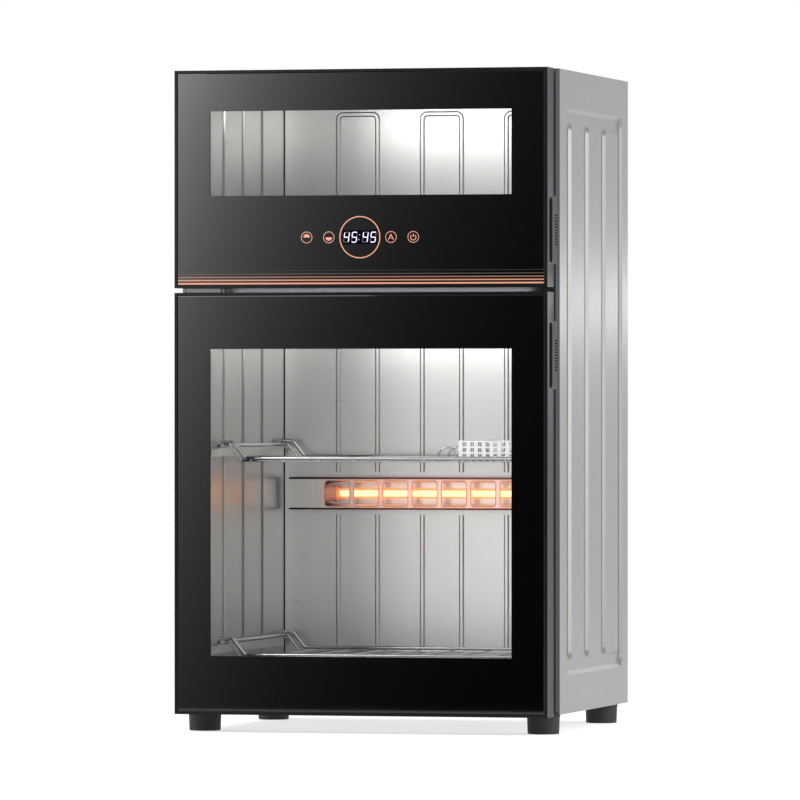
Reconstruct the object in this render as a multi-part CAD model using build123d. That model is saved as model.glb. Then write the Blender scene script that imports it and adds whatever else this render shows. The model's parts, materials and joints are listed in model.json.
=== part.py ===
from build123d import *
import math
import os

# A two-chamber dish sterilizer cabinet: two glass doors hinged on the left, wire racks on wall
# rails, and a quartz heating tube behind a guard in the lower chamber.
# Millimetres. +X is right, +Y is back, +Z is up. The origin is on the floor, under the middle.

# ---- whole cabinet ----
CASE_WIDTH = 426.4
DEPTH = 394.0  # door glass to back panel
CASE_HEIGHT = 704.5  # underside to top
FOOT_HEIGHT = 21.5
SHEET = 1.0  # casing sheet
LINER_SHEET = 0.8  # chamber wall sheet
FIT_GAP = 0.3  # between parts that meet but don't rub

# ---- chambers ----
CHAMBER_SIDE_SPACE = 27.2  # casing side to the inside of a chamber wall
MIDDLE_SPACE = 45.0  # lower ceiling to upper floor
UPPER_FLOOR_RISE = 19.7  # upper door's lower edge to the upper floor
LOWER_FLOOR_RISE = 20.5  # casing underside to the lower floor
UPPER_CEILING_DROP = 20.0  # casing top to the upper ceiling
REAR_SPACE = 16.0  # rear wall face to the outside of the back panel
EDGE_FLANGE = 12.0  # turned edges of the casing sheets

# ---- front bezel ----
BEZEL_THICKNESS = 4.0
BEZEL_BEVEL = 3.8

# ---- doors ----
DOOR_SIDE_STEP = 3.2  # casing side to the door's edge
DOOR_THICKNESS = 32.0
SEAL_SPACE = 10.0  # door back to bezel face
UPPER_DOOR_HEIGHT = 238.7
DOOR_GAP = 5.0  # between the two doors
DOOR_OVERHANG = 1.6  # lower door below the casing
FRAME_WALL = 3.3
FRAME_LEDGE = 9.0  # how far the glass seat reaches in
LEDGE_THICKNESS = 1.6
GLASS_THICKNESS = 4.0
GLASS_INSET = 0.5  # glass face behind the frame face
GLASS_EDGE_GAP = 0.2
WINDOW_SIDE_BORDER = 40.2  # door's edge to the clear window
UPPER_WINDOW_TOP_BORDER = 44.8
UPPER_WINDOW_BOTTOM_BORDER = 100.9
LOWER_WINDOW_TOP_BORDER = 61.8
LOWER_WINDOW_BOTTOM_BORDER = 64.1
REVEAL_MARGIN = 12.0  # door liner opening beyond the clear window
DOOR_LINER_SHEET = 1.0
SEAL_WIDTH = 8.0
SEAL_INSET = 15.0  # door's edge to the seal, left and right
SEAL_MARGIN = 1.5  # seal outside the chamber opening, top and bottom
SEAL_FOOT = 3.0
SEAL_BULB_WIDTH = 6.4

# ---- handles, on the right-hand edge of each door ----
GRIP_LENGTH = 74.6
GRIP_WIDTH = 11.0
GRIP_THICKNESS = 2.9  # proud of the door's edge, at the back of the grip
POCKET_FRONT = 8.2  # door face to the finger pocket
POCKET_WIDTH = 16.8
POCKET_DEPTH = 16.0
POCKET_WALL = 1.2
SLIT_COUNT = 11
SLIT_PITCH = 3.2
SLIT_HEIGHT = 1.7
SLIT_DEPTH = 1.4
UPPER_GRIP_CENTRE = 62.3  # above the door's lower edge
LOWER_GRIP_CENTRE = 68.9  # below the door's upper edge

# ---- hinges ----
PIN_RADIUS = 2.5
PIN_CLEARANCE = 0.06
PIN_INSET = 14.0  # door's left edge to the hinge axis
PIN_SETBACK = 16.0  # door face to the hinge axis
PIN_REACH = 11.0  # into the door
ARM_HALF_WIDTH = 5.4
ARM_THICKNESS = 3.0
LEG_WIDTH = 12.0
LEG_HEIGHT = 32.0
LEG_THICKNESS = 2.6
HINGE_EDGE_DROP = 5.0  # door edge to the hinge arm, top and bottom hinges
MIDDLE_PLATE_WIDTH = 48.0
MIDDLE_LEG_HEIGHT = 24.0
SLOT_CLEARANCE = 0.5
LEG_OUTSET = 6.5  # hinge axis to the middle of the leg
PLATE_OVERHANG = 7.0  # hinge axis to the outer edge of the middle plate
PLATE_CORNER = 5.0
PIN_HOLE_CLEARANCE = 0.8
BUSH_WIDTH = 15.0
BUSH_HEIGHT = 15.0
SCREW_RADIUS = 1.6
SCREW_HEAD_RADIUS = 2.9
SCREW_HEAD_HEIGHT = 1.5
SCREW_LENGTH = 9.0
SCREW_SPREAD = 9.0
MIDDLE_SCREW_SPREAD_X = 15.0
MIDDLE_SCREW_SPREAD_Z = 7.0

# ---- pressed pattern on the side panels ----
FIELD_LENGTH = 284.5
FIELD_HEIGHT = 621.0
FIELD_CENTRE_Y = 25.5
FIELD_RADIUS = 14.5
FIELD_DEPTH = 3.0
FIELD_SLOPE = 4.5
RIB_COUNT = 3
RIB_WIDTH = 64.0
RIB_PITCH = 86.4
RIB_END_SPACE = 20.0
RIB_RADIUS = 5.0
PRESS_BACKING = 8.0  # working depth behind a pressed face

# ---- beads in the chamber walls ----
BEAD_WIDTH = 17.0
BEAD_HEIGHT = 1.5
BEAD_SLOPE = 1.4
SIDE_BEAD_COUNT = 3
SIDE_BEAD_PITCH = 81.5
SIDE_BEAD_CENTRE_Y = 10.0
BEAD_END_SPACE = 3.0
LOOP_BEAD_WIDTH = 52.0
LOOP_BEAD_PITCH = 98.6
LOOP_BEAD_LINE = 6.0
LOOP_BEAD_TOP = 12.0  # bead below the ceiling
LOOP_BEAD_COUNT = 3
LOOP_BEAD_RADIUS = 9.0
LOOP_BEAD_RISE = 1.2
LOOP_BEAD_SLOPE = 1.6
BEAD_RADIUS = 3.0

# ---- racks ----
WIRE_RADIUS = 2.0
THIN_WIRE_RADIUS = 1.3
WELD_DEPTH = 0.4
RACK_SIDE_SPACE = 1.0  # rack to chamber wall
RACK_FRONT = 54.0  # bezel face to the rack's front wire
RACK_BACK = 22.0  # rear wall to the rack's back wire
RACK_DROP = 17.6  # wall rail wire down to the rack's floor
RACK_SHOULDER = 14.0
RACK_SLOPE = 14.0
CROSS_PITCH = 40.0
CROSS_COUNT = 8
UNDER_WIRE_SHIFT = 6.0  # the lower end wire bends this much further out
UNDER_WIRE_SETBACK = 4.0  # and lies this far inside the main one
WIRE_BEND = 5.0
FINE_PITCH = 7.9  # close wires under the cutlery basket
FINE_COUNT = 9
WIDE_COUNT = 6  # wider spaced wires beside them
LOOP_RADIUS = 11.0
LOOP_WIRE_RADIUS = 1.1
LOOP_RISE = 4.0
LOOP_COUNT = 4
LOOP_SPACE = 14.0  # basket to the row of loops
LOOP_ROW_PITCH = 48.0
RAIL_WIDTH = 8.0
RAIL_END_SPACE = 12.0
RAIL_SHEET = 1.2
RAIL_LEG = 10.0
UPPER_RACK_HEIGHT = 55.0  # rail wire above the upper floor
MIDDLE_RACK_HEIGHT = 276.0  # rail wire above the lower floor
BOTTOM_RACK_HEIGHT = 58.0

# ---- cutlery basket on the middle rack ----
BASKET_WIDTH = 66.0
BASKET_DEPTH = 150.0
BASKET_HEIGHT = 21.0
BASKET_SHEET = 0.8
BASKET_RIGHT_SPACE = 34.0  # chamber wall to the basket
BASKET_FRONT_SPACE = 5.0  # rack front wire to the basket
BASKET_HOLE = 4.4
BASKET_HOLE_PITCH = 8.8
BASKET_ROW_PITCH = 6.4
BASKET_ROWS = 3

# ---- heater ----
HEATER_HEIGHT = 216.0  # above the lower floor
TUBE_RADIUS = 6.0
TUBE_LENGTH = 244.0
TUBE_SPACE = 10.4  # rear of guard to the tube axis
CAP_RADIUS = 9.5
CAP_LENGTH = 29.0
CAP_CHAMFER = 1.2
CLIP_WIDTH = 12.0
CLIP_WALL = 1.4
GUARD_WIDTH = 354.0
GUARD_HEIGHT = 37.0
GUARD_STANDOFF = 13.0
GUARD_WINDOWS = 8
GUARD_WINDOW = 28.7
GUARD_PITCH = 34.3
GUARD_WINDOW_RADIUS = 3.5
REFLECTOR_DEPTH = 8.0
REFLECTOR_HEIGHT = 33.0
REFLECTOR_WIDTH = 336.0
REFLECTOR_SLOPE = 4.0

# ---- feet ----
FOOT_TOP_RADIUS = 18.5
FOOT_BOTTOM_RADIUS = 17.3
FOOT_LIP = 3.0
FOOT_LIP_STEP = 0.5
FOOT_INSET_X = 21.5
FOOT_FRONT_INSET = 14.0  # bezel back to the front feet's axis
FOOT_BACK_INSET = 42.0
FOOT_ROUNDING = 1.2
FOOT_SCREW_RADIUS = 2.0
FOOT_SCREW_HEAD_RADIUS = 5.0
FOOT_SCREW_DEPTH = 12.0
FOOT_SCREW_HEAD = 3.0

# ---- electrical ----
SWITCH_HEIGHT_IN_CHAMBER = 90.0
PLUNGER_RADIUS = 2.4
SWITCH_WIDTH = 10.0
SWITCH_DEPTH = 18.0
SWITCH_HEIGHT = 26.0
BOARD_WIDTH = 150.0
BOARD_DEPTH = 90.0
BOARD_THICKNESS = 1.6
BOARD_STANDOFF = 5.0
PTC_WIDTH = 160.0
PTC_DEPTH = 60.0
PTC_THICKNESS = 9.0
OZONE_WIDTH = 56.0
OZONE_DEPTH = 34.0
OZONE_HEIGHT = 14.0
CUTOUT_RADIUS = 8.0
CUTOUT_HEIGHT = 9.0
SWITCH_INSET = 13.5  # chamber wall to the plunger
PLUNGER_SEAT = 8.0
GLAND_LENGTH = 12.0
GLAND_RADIUS = 8.0
GLAND_BORE = 3.8
GLAND_HEIGHT = 34.0  # above the casing underside
GLAND_SIDE = 60.0  # from the cabinet's right-hand side
VENT_COUNT = 13
VENT_PITCH = 14.0
VENT_WIDTH = 7.0
VENT_HEIGHT = 3.0
VENT_DROP = 30.0  # upper ceiling to a row of slots
VENT_RISE = 20.0  # lower floor to a row of slots
CEILING_VENTS = 3
OZONE_Y = 60.0
BOARD_Y = 40.0
TRANSFORMER_INSET = 15.0
TRANSFORMER_WIDTH = 36.0
TRANSFORMER_DEPTH = 32.0
TRANSFORMER_HEIGHT = 26.0
RELAY_COUNT = 3
RELAY_PITCH = 24.0
RELAY_WIDTH = 18.0
RELAY_DEPTH = 20.0
RELAY_HEIGHT = 15.0
TERMINAL_INSET = 8.0
TERMINAL_DEPTH = 10.0
TERMINAL_HEIGHT = 12.0
STANDOFF_RADIUS = 3.5
STANDOFF_INSET = 6.0
DISPLAY_WIDTH = 160.0
DISPLAY_HEIGHT = 48.0
DISPLAY_DEPTH = 14.0
DISPLAY_RIM = 3.0
DISPLAY_BOARD = 1.6
DISPLAY_RISE = 55.0  # door's lower edge to the display's middle

# ---- places worked out from the sizes ----
FLOOR_SIDE = FOOT_HEIGHT
CASE_TOP = FOOT_HEIGHT + CASE_HEIGHT
FRONT = -DEPTH / 2
BACK = DEPTH / 2
DOOR_BACK = FRONT + DOOR_THICKNESS
BEZEL_FACE = DOOR_BACK + SEAL_SPACE
BEZEL_BACK = BEZEL_FACE + BEZEL_THICKNESS
SIDE = CASE_WIDTH / 2
DOOR_SIDE = SIDE - DOOR_SIDE_STEP
WALL = SIDE - CHAMBER_SIDE_SPACE
REAR_WALL = BACK - REAR_SPACE
LOWER_FLOOR = FLOOR_SIDE + LOWER_FLOOR_RISE
UPPER_CEILING = CASE_TOP - UPPER_CEILING_DROP
UPPER_DOOR_BOTTOM = CASE_TOP - UPPER_DOOR_HEIGHT
UPPER_FLOOR = UPPER_DOOR_BOTTOM + UPPER_FLOOR_RISE
LOWER_CEILING = UPPER_FLOOR - MIDDLE_SPACE
LOWER_DOOR_TOP = UPPER_DOOR_BOTTOM - DOOR_GAP
LOWER_DOOR_BOTTOM = FLOOR_SIDE - DOOR_OVERHANG
AXIS_X = -DOOR_SIDE + PIN_INSET
AXIS_Y = FRONT + PIN_SETBACK
LINER_FRONT = BEZEL_BACK
HEATER_Z = LOWER_FLOOR + HEATER_HEIGHT
GUARD_FACE = REAR_WALL - GUARD_STANDOFF
HEATER_Y = GUARD_FACE + SHEET + TUBE_SPACE
GLASS_BACK = FRONT + GLASS_INSET + GLASS_THICKNESS
LEDGE_BACK = GLASS_BACK + LEDGE_THICKNESS


# ---- shapes used by many parts ----
def block(x0, x1, y0, y1, z0, z1):
    """A box between two corners."""
    size = (x1 - x0, y1 - y0, z1 - z0)
    middle = ((x0 + x1) / 2, (y0 + y1) / 2, (z0 + z1) / 2)
    return Pos(*middle) * Box(*size)


def rod(start, end, radius):
    """A round bar from one point to another."""
    line = Vector(*end) - Vector(*start)
    plane = Plane(origin=start, z_dir=line.normalized())
    return plane * Cylinder(radius, line.length, align=(Align.CENTER, Align.CENTER, Align.MIN))


def bent_wire(points, radius, bend):
    """A round wire along straight runs joined by equal bends."""
    path = FilletPolyline(*points, radius=bend)
    section = Plane(origin=path @ 0, z_dir=path % 0) * Circle(radius)
    return sweep(section, path=path)


def solids_of(*shapes):
    """All the solids of some shapes, side by side in one compound."""
    return Compound([solid for shape in shapes for solid in shape.solids()])


def mirrored(shape):
    """The shape's copy on the other side of the cabinet's middle plane."""
    return mirror(shape, about=Plane.YZ)


def frustum(width, height, radius, low, high, shrink):
    """A rounded block from low to high, each of whose sides leans in by shrink."""
    base = Pos(0, 0, low) * RectangleRounded(width, height, radius)
    top_radius = max(radius - shrink, radius / 4)
    top = Pos(0, 0, high) * RectangleRounded(width - 2 * shrink, height - 2 * shrink, top_radius)
    return loft([base, top], ruled=True)


def skin(form, thickness):
    """The top layer of a form, as a pressed sheet."""
    return form - Pos(0, 0, -thickness) * form


def save(name, shape):
    """Write one node."""
    export_step(shape, "parts/" + name + ".step")


# ---- casing ----
def side_panel():
    """The right-hand casing side: a sunk field with three raised ribs, and turned edges."""
    length = BACK - BEZEL_BACK
    middle_y = (BACK + BEZEL_BACK) / 2
    middle_z = (FLOOR_SIDE + CASE_TOP) / 2
    form = Pos(0, 0, -PRESS_BACKING / 2) * Box(length, CASE_HEIGHT, PRESS_BACKING)
    shift = FIELD_CENTRE_Y - middle_y
    field = frustum(FIELD_LENGTH, FIELD_HEIGHT, FIELD_RADIUS, 0, -FIELD_DEPTH, FIELD_SLOPE)
    form -= Pos(shift, 0, 0) * field
    for number in range(RIB_COUNT):
        place = shift + (number - (RIB_COUNT - 1) / 2) * RIB_PITCH
        rib_height = FIELD_HEIGHT - 2 * RIB_END_SPACE
        foot_width = RIB_WIDTH + 2 * FIELD_SLOPE
        foot_height = rib_height + 2 * FIELD_SLOPE
        foot_radius = RIB_RADIUS + FIELD_SLOPE
        rib = frustum(foot_width, foot_height, foot_radius, -FIELD_DEPTH, 0, FIELD_SLOPE)
        form += Pos(place, 0, 0) * rib
    plane = Plane(origin=(SIDE, middle_y, middle_z), x_dir=(0, 1, 0), z_dir=(1, 0, 0))
    panel = plane * skin(form, SHEET)
    inner = SIDE - SHEET
    low = FLOOR_SIDE + SHEET
    high = CASE_TOP - SHEET
    panel += block(inner - EDGE_FLANGE, inner, BEZEL_BACK, BEZEL_BACK + SHEET, low, high)
    panel += block(inner - EDGE_FLANGE, inner, BACK - 2 * SHEET, BACK - SHEET, low, high)
    return panel


def flat_panel(low, high):
    """The top or the base sheet, between the two sides."""
    edge = SIDE - SHEET
    return block(-edge, edge, BEZEL_BACK, BACK, low, high)


def back_panel():
    """The rear sheet, with rows of cooling slots and the hole of the cable gland."""
    edge = SIDE - SHEET
    panel = block(-edge, edge, BACK - SHEET, BACK, FLOOR_SIDE + SHEET, CASE_TOP - SHEET)
    slots = []
    for row_z in (LOWER_CEILING, UPPER_CEILING - VENT_DROP, LOWER_FLOOR + VENT_RISE):
        for column in range(VENT_COUNT):
            x = (column - (VENT_COUNT - 1) / 2) * VENT_PITCH
            slots.append(
                Pos(x, BACK - SHEET / 2, row_z) * Box(VENT_WIDTH, 4 * SHEET, VENT_HEIGHT)
            )
    return panel - slots - gland_place() * Cylinder(GLAND_RADIUS, 4 * SHEET)


def front_bezel():
    """The bevelled front frame, with one opening for each chamber."""
    frame = block(-SIDE, SIDE, BEZEL_FACE, BEZEL_BACK, FLOOR_SIDE, CASE_TOP)
    face_edges = frame.faces().sort_by(Axis.Y)[0].edges()
    frame = chamfer(face_edges, BEZEL_BEVEL)
    for low, high in ((LOWER_FLOOR, LOWER_CEILING), (UPPER_FLOOR, UPPER_CEILING)):
        frame -= block(-WALL, WALL, BEZEL_FACE - 1, BEZEL_BACK + 1, low, high)
    return frame


# ---- chamber walls ----
def side_wall(low, high):
    """The right-hand wall of a chamber, with upright beads."""
    length = REAR_WALL - LINER_FRONT
    middle_y = (REAR_WALL + LINER_FRONT) / 2
    height = high - low
    form = Pos(0, 0, -PRESS_BACKING / 2) * Box(length, height, PRESS_BACKING)
    bead_height = height - 2 * BEAD_END_SPACE
    for number in range(SIDE_BEAD_COUNT):
        y = SIDE_BEAD_CENTRE_Y + (number - (SIDE_BEAD_COUNT - 1) / 2) * SIDE_BEAD_PITCH
        bead = frustum(BEAD_WIDTH, bead_height, BEAD_RADIUS, 0, BEAD_HEIGHT, BEAD_SLOPE)
        form += Pos(middle_y - y, 0, 0) * bead
    middle_z = (low + high) / 2
    plane = Plane(origin=(WALL, middle_y, middle_z), x_dir=(0, -1, 0), z_dir=(-1, 0, 0))
    return plane * skin(form, LINER_SHEET)


def rear_form(low, high, bead_low):
    """The rear wall of a chamber as a thick form, with raised loop beads."""
    width = 2 * (WALL + LINER_SHEET)
    height = high - low
    form = Pos(0, 0, -PRESS_BACKING) * Box(width, height, 2 * PRESS_BACKING)
    bead_high = high - LOOP_BEAD_TOP
    bead_height = bead_high - bead_low
    middle = (bead_high + bead_low - high - low) / 2
    for number in range(LOOP_BEAD_COUNT):
        x = (number - (LOOP_BEAD_COUNT - 1) / 2) * LOOP_BEAD_PITCH
        outer = frustum(
            LOOP_BEAD_WIDTH, bead_height, LOOP_BEAD_RADIUS, 0, LOOP_BEAD_RISE, LOOP_BEAD_SLOPE
        )
        inner = frustum(
            LOOP_BEAD_WIDTH - 2 * LOOP_BEAD_LINE,
            bead_height - 2 * LOOP_BEAD_LINE,
            LOOP_BEAD_RADIUS - LOOP_BEAD_LINE,
            0,
            LOOP_BEAD_RISE,
            -LOOP_BEAD_SLOPE,
        )
        form += Pos(x, middle, 0) * (outer - inner)
    return form


def rear_plane(low, high):
    """The rear wall's own plane: face towards the front, up is up."""
    return Plane(origin=(0, REAR_WALL, (low + high) / 2), x_dir=(1, 0, 0), z_dir=(0, -1, 0))


def upper_rear_wall():
    """The rear wall of the upper chamber."""
    form = rear_form(UPPER_FLOOR, UPPER_CEILING, UPPER_FLOOR + LOOP_BEAD_TOP)
    return rear_plane(UPPER_FLOOR, UPPER_CEILING) * skin(form, LINER_SHEET)


def lower_rear_wall():
    """The rear wall of the lower chamber, with the sunk reflector behind the tube."""
    form = rear_form(LOWER_FLOOR, LOWER_CEILING, LOWER_FLOOR + LOOP_BEAD_TOP)
    guard_space = GUARD_HEIGHT + 2 * LOOP_BEAD_LINE
    shift = HEATER_Z - (LOWER_FLOOR + LOWER_CEILING) / 2
    # the beads stop above and below the guard
    form -= Pos(0, shift, PRESS_BACKING / 2) * Box(2 * WALL, guard_space, PRESS_BACKING)
    reflector = frustum(
        REFLECTOR_WIDTH, REFLECTOR_HEIGHT, REFLECTOR_SLOPE + 1, 0, -REFLECTOR_DEPTH, REFLECTOR_SLOPE
    )
    form -= Pos(0, shift, 0) * reflector
    return rear_plane(LOWER_FLOOR, LOWER_CEILING) * skin(form, LINER_SHEET)


def level_wall(low, vents=False):
    """A chamber's floor or ceiling sheet, its lower face at low."""
    edge = WALL + LINER_SHEET
    sheet = block(-edge, edge, LINER_FRONT, REAR_WALL, low, low + LINER_SHEET)
    if not vents:
        return sheet
    middle = low + LINER_SHEET / 2
    slots = []
    for column in range(CEILING_VENTS):
        x = (column - (CEILING_VENTS - 1) / 2) * VENT_PITCH
        slots.append(Pos(x, OZONE_Y, middle) * Box(VENT_WIDTH / 2, OZONE_DEPTH / 2, 4 * LINER_SHEET))
    return sheet - slots


def wall_rail(level):
    """The right-hand ledge that a rack rests on; level is the ledge's top."""
    outer = WALL - BEAD_HEIGHT
    front = LINER_FRONT + RAIL_END_SPACE
    back = REAR_WALL - RAIL_END_SPACE
    ledge = block(outer - RAIL_WIDTH, outer, front, back, level - RAIL_SHEET, level)
    return ledge + block(outer - RAIL_SHEET, outer, front, back, level - RAIL_LEG, level)


# ---- racks ----
RACK_END = WALL - BEAD_HEIGHT - RACK_SIDE_SPACE
RACK_FRONT_Y = BEZEL_FACE + RACK_FRONT
RACK_BACK_Y = REAR_WALL - RACK_BACK
SHOULDER_X = RACK_END - RACK_SHOULDER
RACK_FLOOR_X = SHOULDER_X - RACK_SLOPE
SIDE_WIRE_DROP = 2 * WIRE_RADIUS - WELD_DEPTH
THIN_DROP = WIRE_RADIUS + THIN_WIRE_RADIUS - WELD_DEPTH


def end_wire(y, top, shift, radius):
    """A wire across the rack, which steps down from its two shoulders."""
    low = top - RACK_DROP
    half = [
        (RACK_END - shift / 2, y, top),
        (SHOULDER_X + shift, y, top),
        (RACK_FLOOR_X + shift, y, low),
    ]
    points = half + [(-x, y, z) for x, y, z in reversed(half)]
    return bent_wire(points, radius, WIRE_BEND)


def rack(top, cross_places, loop_x=None):
    """A welded wire rack; top is the height of its end wires' shoulders."""
    wires = []
    for y, inward in ((RACK_FRONT_Y, 1), (RACK_BACK_Y, -1)):
        wires.append(end_wire(y, top, 0, WIRE_RADIUS))
        under_y = y + inward * UNDER_WIRE_SETBACK
        wires.append(end_wire(under_y, top - THIN_DROP, UNDER_WIRE_SHIFT, THIN_WIRE_RADIUS))
    front, back = RACK_FRONT_Y - WIRE_RADIUS, RACK_BACK_Y + WIRE_RADIUS
    floor = top - RACK_DROP
    for side in (-1, 1):
        x = side * (RACK_END - WIRE_RADIUS)
        z = top - SIDE_WIRE_DROP
        wires.append(rod((x, front, z), (x, back, z), WIRE_RADIUS))
    cross_z = floor - THIN_DROP
    for x in cross_places:
        wires.append(rod((x, front, cross_z), (x, back, cross_z), THIN_WIRE_RADIUS))
    if loop_x is not None:
        for number in range(LOOP_COUNT):
            y = RACK_FRONT_Y + LOOP_SPACE + number * LOOP_ROW_PITCH
            wires.append(loop_wire(loop_x, y, cross_z))
    return wires[0].fuse(*wires[1:])


def loop_wire(x, y, z):
    """An upright loop that parts the dishes, standing on two cross wires."""
    left = Vector(x - LOOP_RADIUS, y, z)
    right = Vector(x + LOOP_RADIUS, y, z)
    rise = Vector(0, 0, LOOP_RISE)
    path = Line(left, left + rise)
    path += ThreePointArc(left + rise, Vector(x, y, z + LOOP_RISE + LOOP_RADIUS), right + rise)
    path += Line(right + rise, right)
    section = Plane(origin=left, z_dir=(0, 0, 1)) * Circle(LOOP_WIRE_RADIUS)
    return sweep(section, path=path)


def spread(count, pitch):
    """Evenly spaced places about zero."""
    return [(number - (count - 1) / 2) * pitch for number in range(count)]


BASKET_RIGHT = WALL - BASKET_RIGHT_SPACE
BASKET_LEFT = BASKET_RIGHT - BASKET_WIDTH
BASKET_FRONT = RACK_FRONT_Y + WIRE_RADIUS + BASKET_FRONT_SPACE
LOOP_X = BASKET_LEFT - LOOP_SPACE


def cutlery_basket(floor):
    """A perforated sheet tray that stands on the close wires; floor is its underside."""
    back = BASKET_FRONT + BASKET_DEPTH
    top = floor + BASKET_HEIGHT
    tray = block(BASKET_LEFT, BASKET_RIGHT, BASKET_FRONT, back, floor, top)
    sheet = BASKET_SHEET
    tray -= block(
        BASKET_LEFT + sheet, BASKET_RIGHT - sheet, BASKET_FRONT + sheet, back - sheet,
        floor + sheet, top + 1,
    )
    holes = []
    middle_x = (BASKET_LEFT + BASKET_RIGHT) / 2
    middle_y = (BASKET_FRONT + back) / 2
    across = int((BASKET_WIDTH - BASKET_HOLE) / BASKET_HOLE_PITCH)
    along = int((BASKET_DEPTH - BASKET_HOLE) / BASKET_HOLE_PITCH)
    for row_z in spread(BASKET_ROWS, BASKET_ROW_PITCH):
        z = floor + BASKET_HEIGHT / 2 + row_z
        for x in spread(across, BASKET_HOLE_PITCH):
            for y in (BASKET_FRONT + sheet / 2, back - sheet / 2):
                holes.append(Pos(middle_x + x, y, z) * Box(BASKET_HOLE, 3 * sheet, BASKET_HOLE))
        for y in spread(along, BASKET_HOLE_PITCH):
            for x in (BASKET_LEFT + sheet / 2, BASKET_RIGHT - sheet / 2):
                holes.append(Pos(x, middle_y + y, z) * Box(3 * sheet, BASKET_HOLE, BASKET_HOLE))
    return tray - holes


# ---- doors ----
def frame_side(side, z0, z1, inset0, inset1, y0, y1):
    """One mitred bar of a door frame, between two insets from the door's outline."""
    left0, right0 = -DOOR_SIDE + inset0, DOOR_SIDE - inset0
    left1, right1 = -DOOR_SIDE + inset1, DOOR_SIDE - inset1
    low0, high0, low1, high1 = z0 + inset0, z1 - inset0, z0 + inset1, z1 - inset1
    outlines = {
        "left": [(left0, low0), (left0, high0), (left1, high1), (left1, low1)],
        "right": [(right0, low0), (right0, high0), (right1, high1), (right1, low1)],
        "top": [(left0, high0), (right0, high0), (right1, high1), (left1, high1)],
        "bottom": [(left0, low0), (right0, low0), (right1, low1), (left1, low1)],
    }
    corners = [(x, y0, z) for x, z in outlines[side]]
    face = make_face(Polyline(*corners, close=True))
    return extrude(face, amount=y1 - y0, dir=(0, 1, 0))


def frame_member(side, z0, z1):
    """A frame profile: the outer wall, the seat behind the glass, and the lip at the back."""
    reach = FRAME_WALL + FRAME_LEDGE
    lip_back = DOOR_BACK - DOOR_LINER_SHEET
    member = frame_side(side, z0, z1, 0, FRAME_WALL, FRONT, DOOR_BACK)
    member += frame_side(side, z0, z1, FRAME_WALL, reach, GLASS_BACK, LEDGE_BACK)
    member += frame_side(side, z0, z1, FRAME_WALL, reach, lip_back - LEDGE_THICKNESS, lip_back)
    return member


def door_glass(z0, z1):
    """The glass panel that fills the frame."""
    inset = FRAME_WALL + GLASS_EDGE_GAP
    edge = DOOR_SIDE - inset
    return block(-edge, edge, FRONT + GLASS_INSET, GLASS_BACK, z0 + inset, z1 - inset)


def door_liner(z0, z1, window0, window1):
    """The sheet behind the glass: a back plate, and walls round the window."""
    edge = DOOR_SIDE - FRAME_WALL
    half = DOOR_SIDE - WINDOW_SIDE_BORDER + REVEAL_MARGIN
    low = window0 - REVEAL_MARGIN
    high = window1 + REVEAL_MARGIN
    sheet = DOOR_LINER_SHEET
    plate = block(-edge, edge, DOOR_BACK - sheet, DOOR_BACK, z0 + FRAME_WALL, z1 - FRAME_WALL)
    wall = block(-half - sheet, half + sheet, GLASS_BACK, DOOR_BACK, low - sheet, high + sheet)
    opening = block(-half, half, GLASS_BACK - 1, DOOR_BACK + 1, low, high)
    return plate + wall - opening


def door_seal(low, high):
    """The soft ring between the door and the bezel, round one chamber opening."""
    outer = DOOR_SIDE - SEAL_INSET
    inner = outer - SEAL_WIDTH
    low_in, high_in = low - SEAL_MARGIN, high + SEAL_MARGIN
    low_out, high_out = low_in - SEAL_WIDTH, high_in + SEAL_WIDTH
    foot_back = DOOR_BACK + SEAL_FOOT
    ring = block(-outer, outer, DOOR_BACK, foot_back, low_out, high_out)
    thin = (SEAL_WIDTH - SEAL_BULB_WIDTH) / 2
    bulb = block(
        -outer + thin, outer - thin, foot_back, BEZEL_FACE - FIT_GAP, low_out + thin, high_out - thin
    )
    ring += bulb
    inner_bulb = inner + thin
    ring -= block(-inner, inner, DOOR_BACK - 1, foot_back, low_in, high_in)
    ring -= block(
        -inner_bulb, inner_bulb, foot_back, BEZEL_FACE, low_in - thin, high_in + thin
    )
    return ring


def grip(centre):
    """The handle in the door's right-hand edge: a finger pocket and a slitted, flared grip."""
    low = centre - GRIP_LENGTH / 2
    high = centre + GRIP_LENGTH / 2
    front = FRONT + POCKET_FRONT
    back = front + POCKET_WIDTH
    wall = POCKET_WALL
    cup = block(DOOR_SIDE - POCKET_DEPTH, DOOR_SIDE, front, back, low, high)
    hollow = block(
        DOOR_SIDE - POCKET_DEPTH + wall, DOOR_SIDE + 1, front + wall, back - wall,
        low + wall, high - wall,
    )
    ends = hollow.edges().filter_by(Axis.X)
    cup -= fillet(ends, POCKET_WIDTH / 2 - 2 * wall)
    tip = back + GRIP_WIDTH
    proud = DOOR_SIDE + GRIP_THICKNESS
    section = [(DOOR_SIDE, back - wall), (proud, tip), (DOOR_SIDE, tip)]
    outline = [(x, y, low) for x, y in section]
    wedge = extrude(make_face(Polyline(*outline, close=True)), amount=high - low, dir=(0, 0, 1))
    slits = []
    for step in spread(SLIT_COUNT, SLIT_PITCH):
        z = centre + step
        slits.append(
            block(proud - SLIT_DEPTH, proud + 1, back, tip + 1, z - SLIT_HEIGHT / 2, z + SLIT_HEIGHT / 2)
        )
    return cup + (wedge - slits)


def grip_opening(centre):
    """The hole that the finger pocket fills in the handle-side profile."""
    front = FRONT + POCKET_FRONT
    return block(
        DOOR_SIDE - POCKET_DEPTH, DOOR_SIDE + 1, front, front + POCKET_WIDTH,
        centre - GRIP_LENGTH / 2, centre + GRIP_LENGTH / 2,
    )


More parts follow.
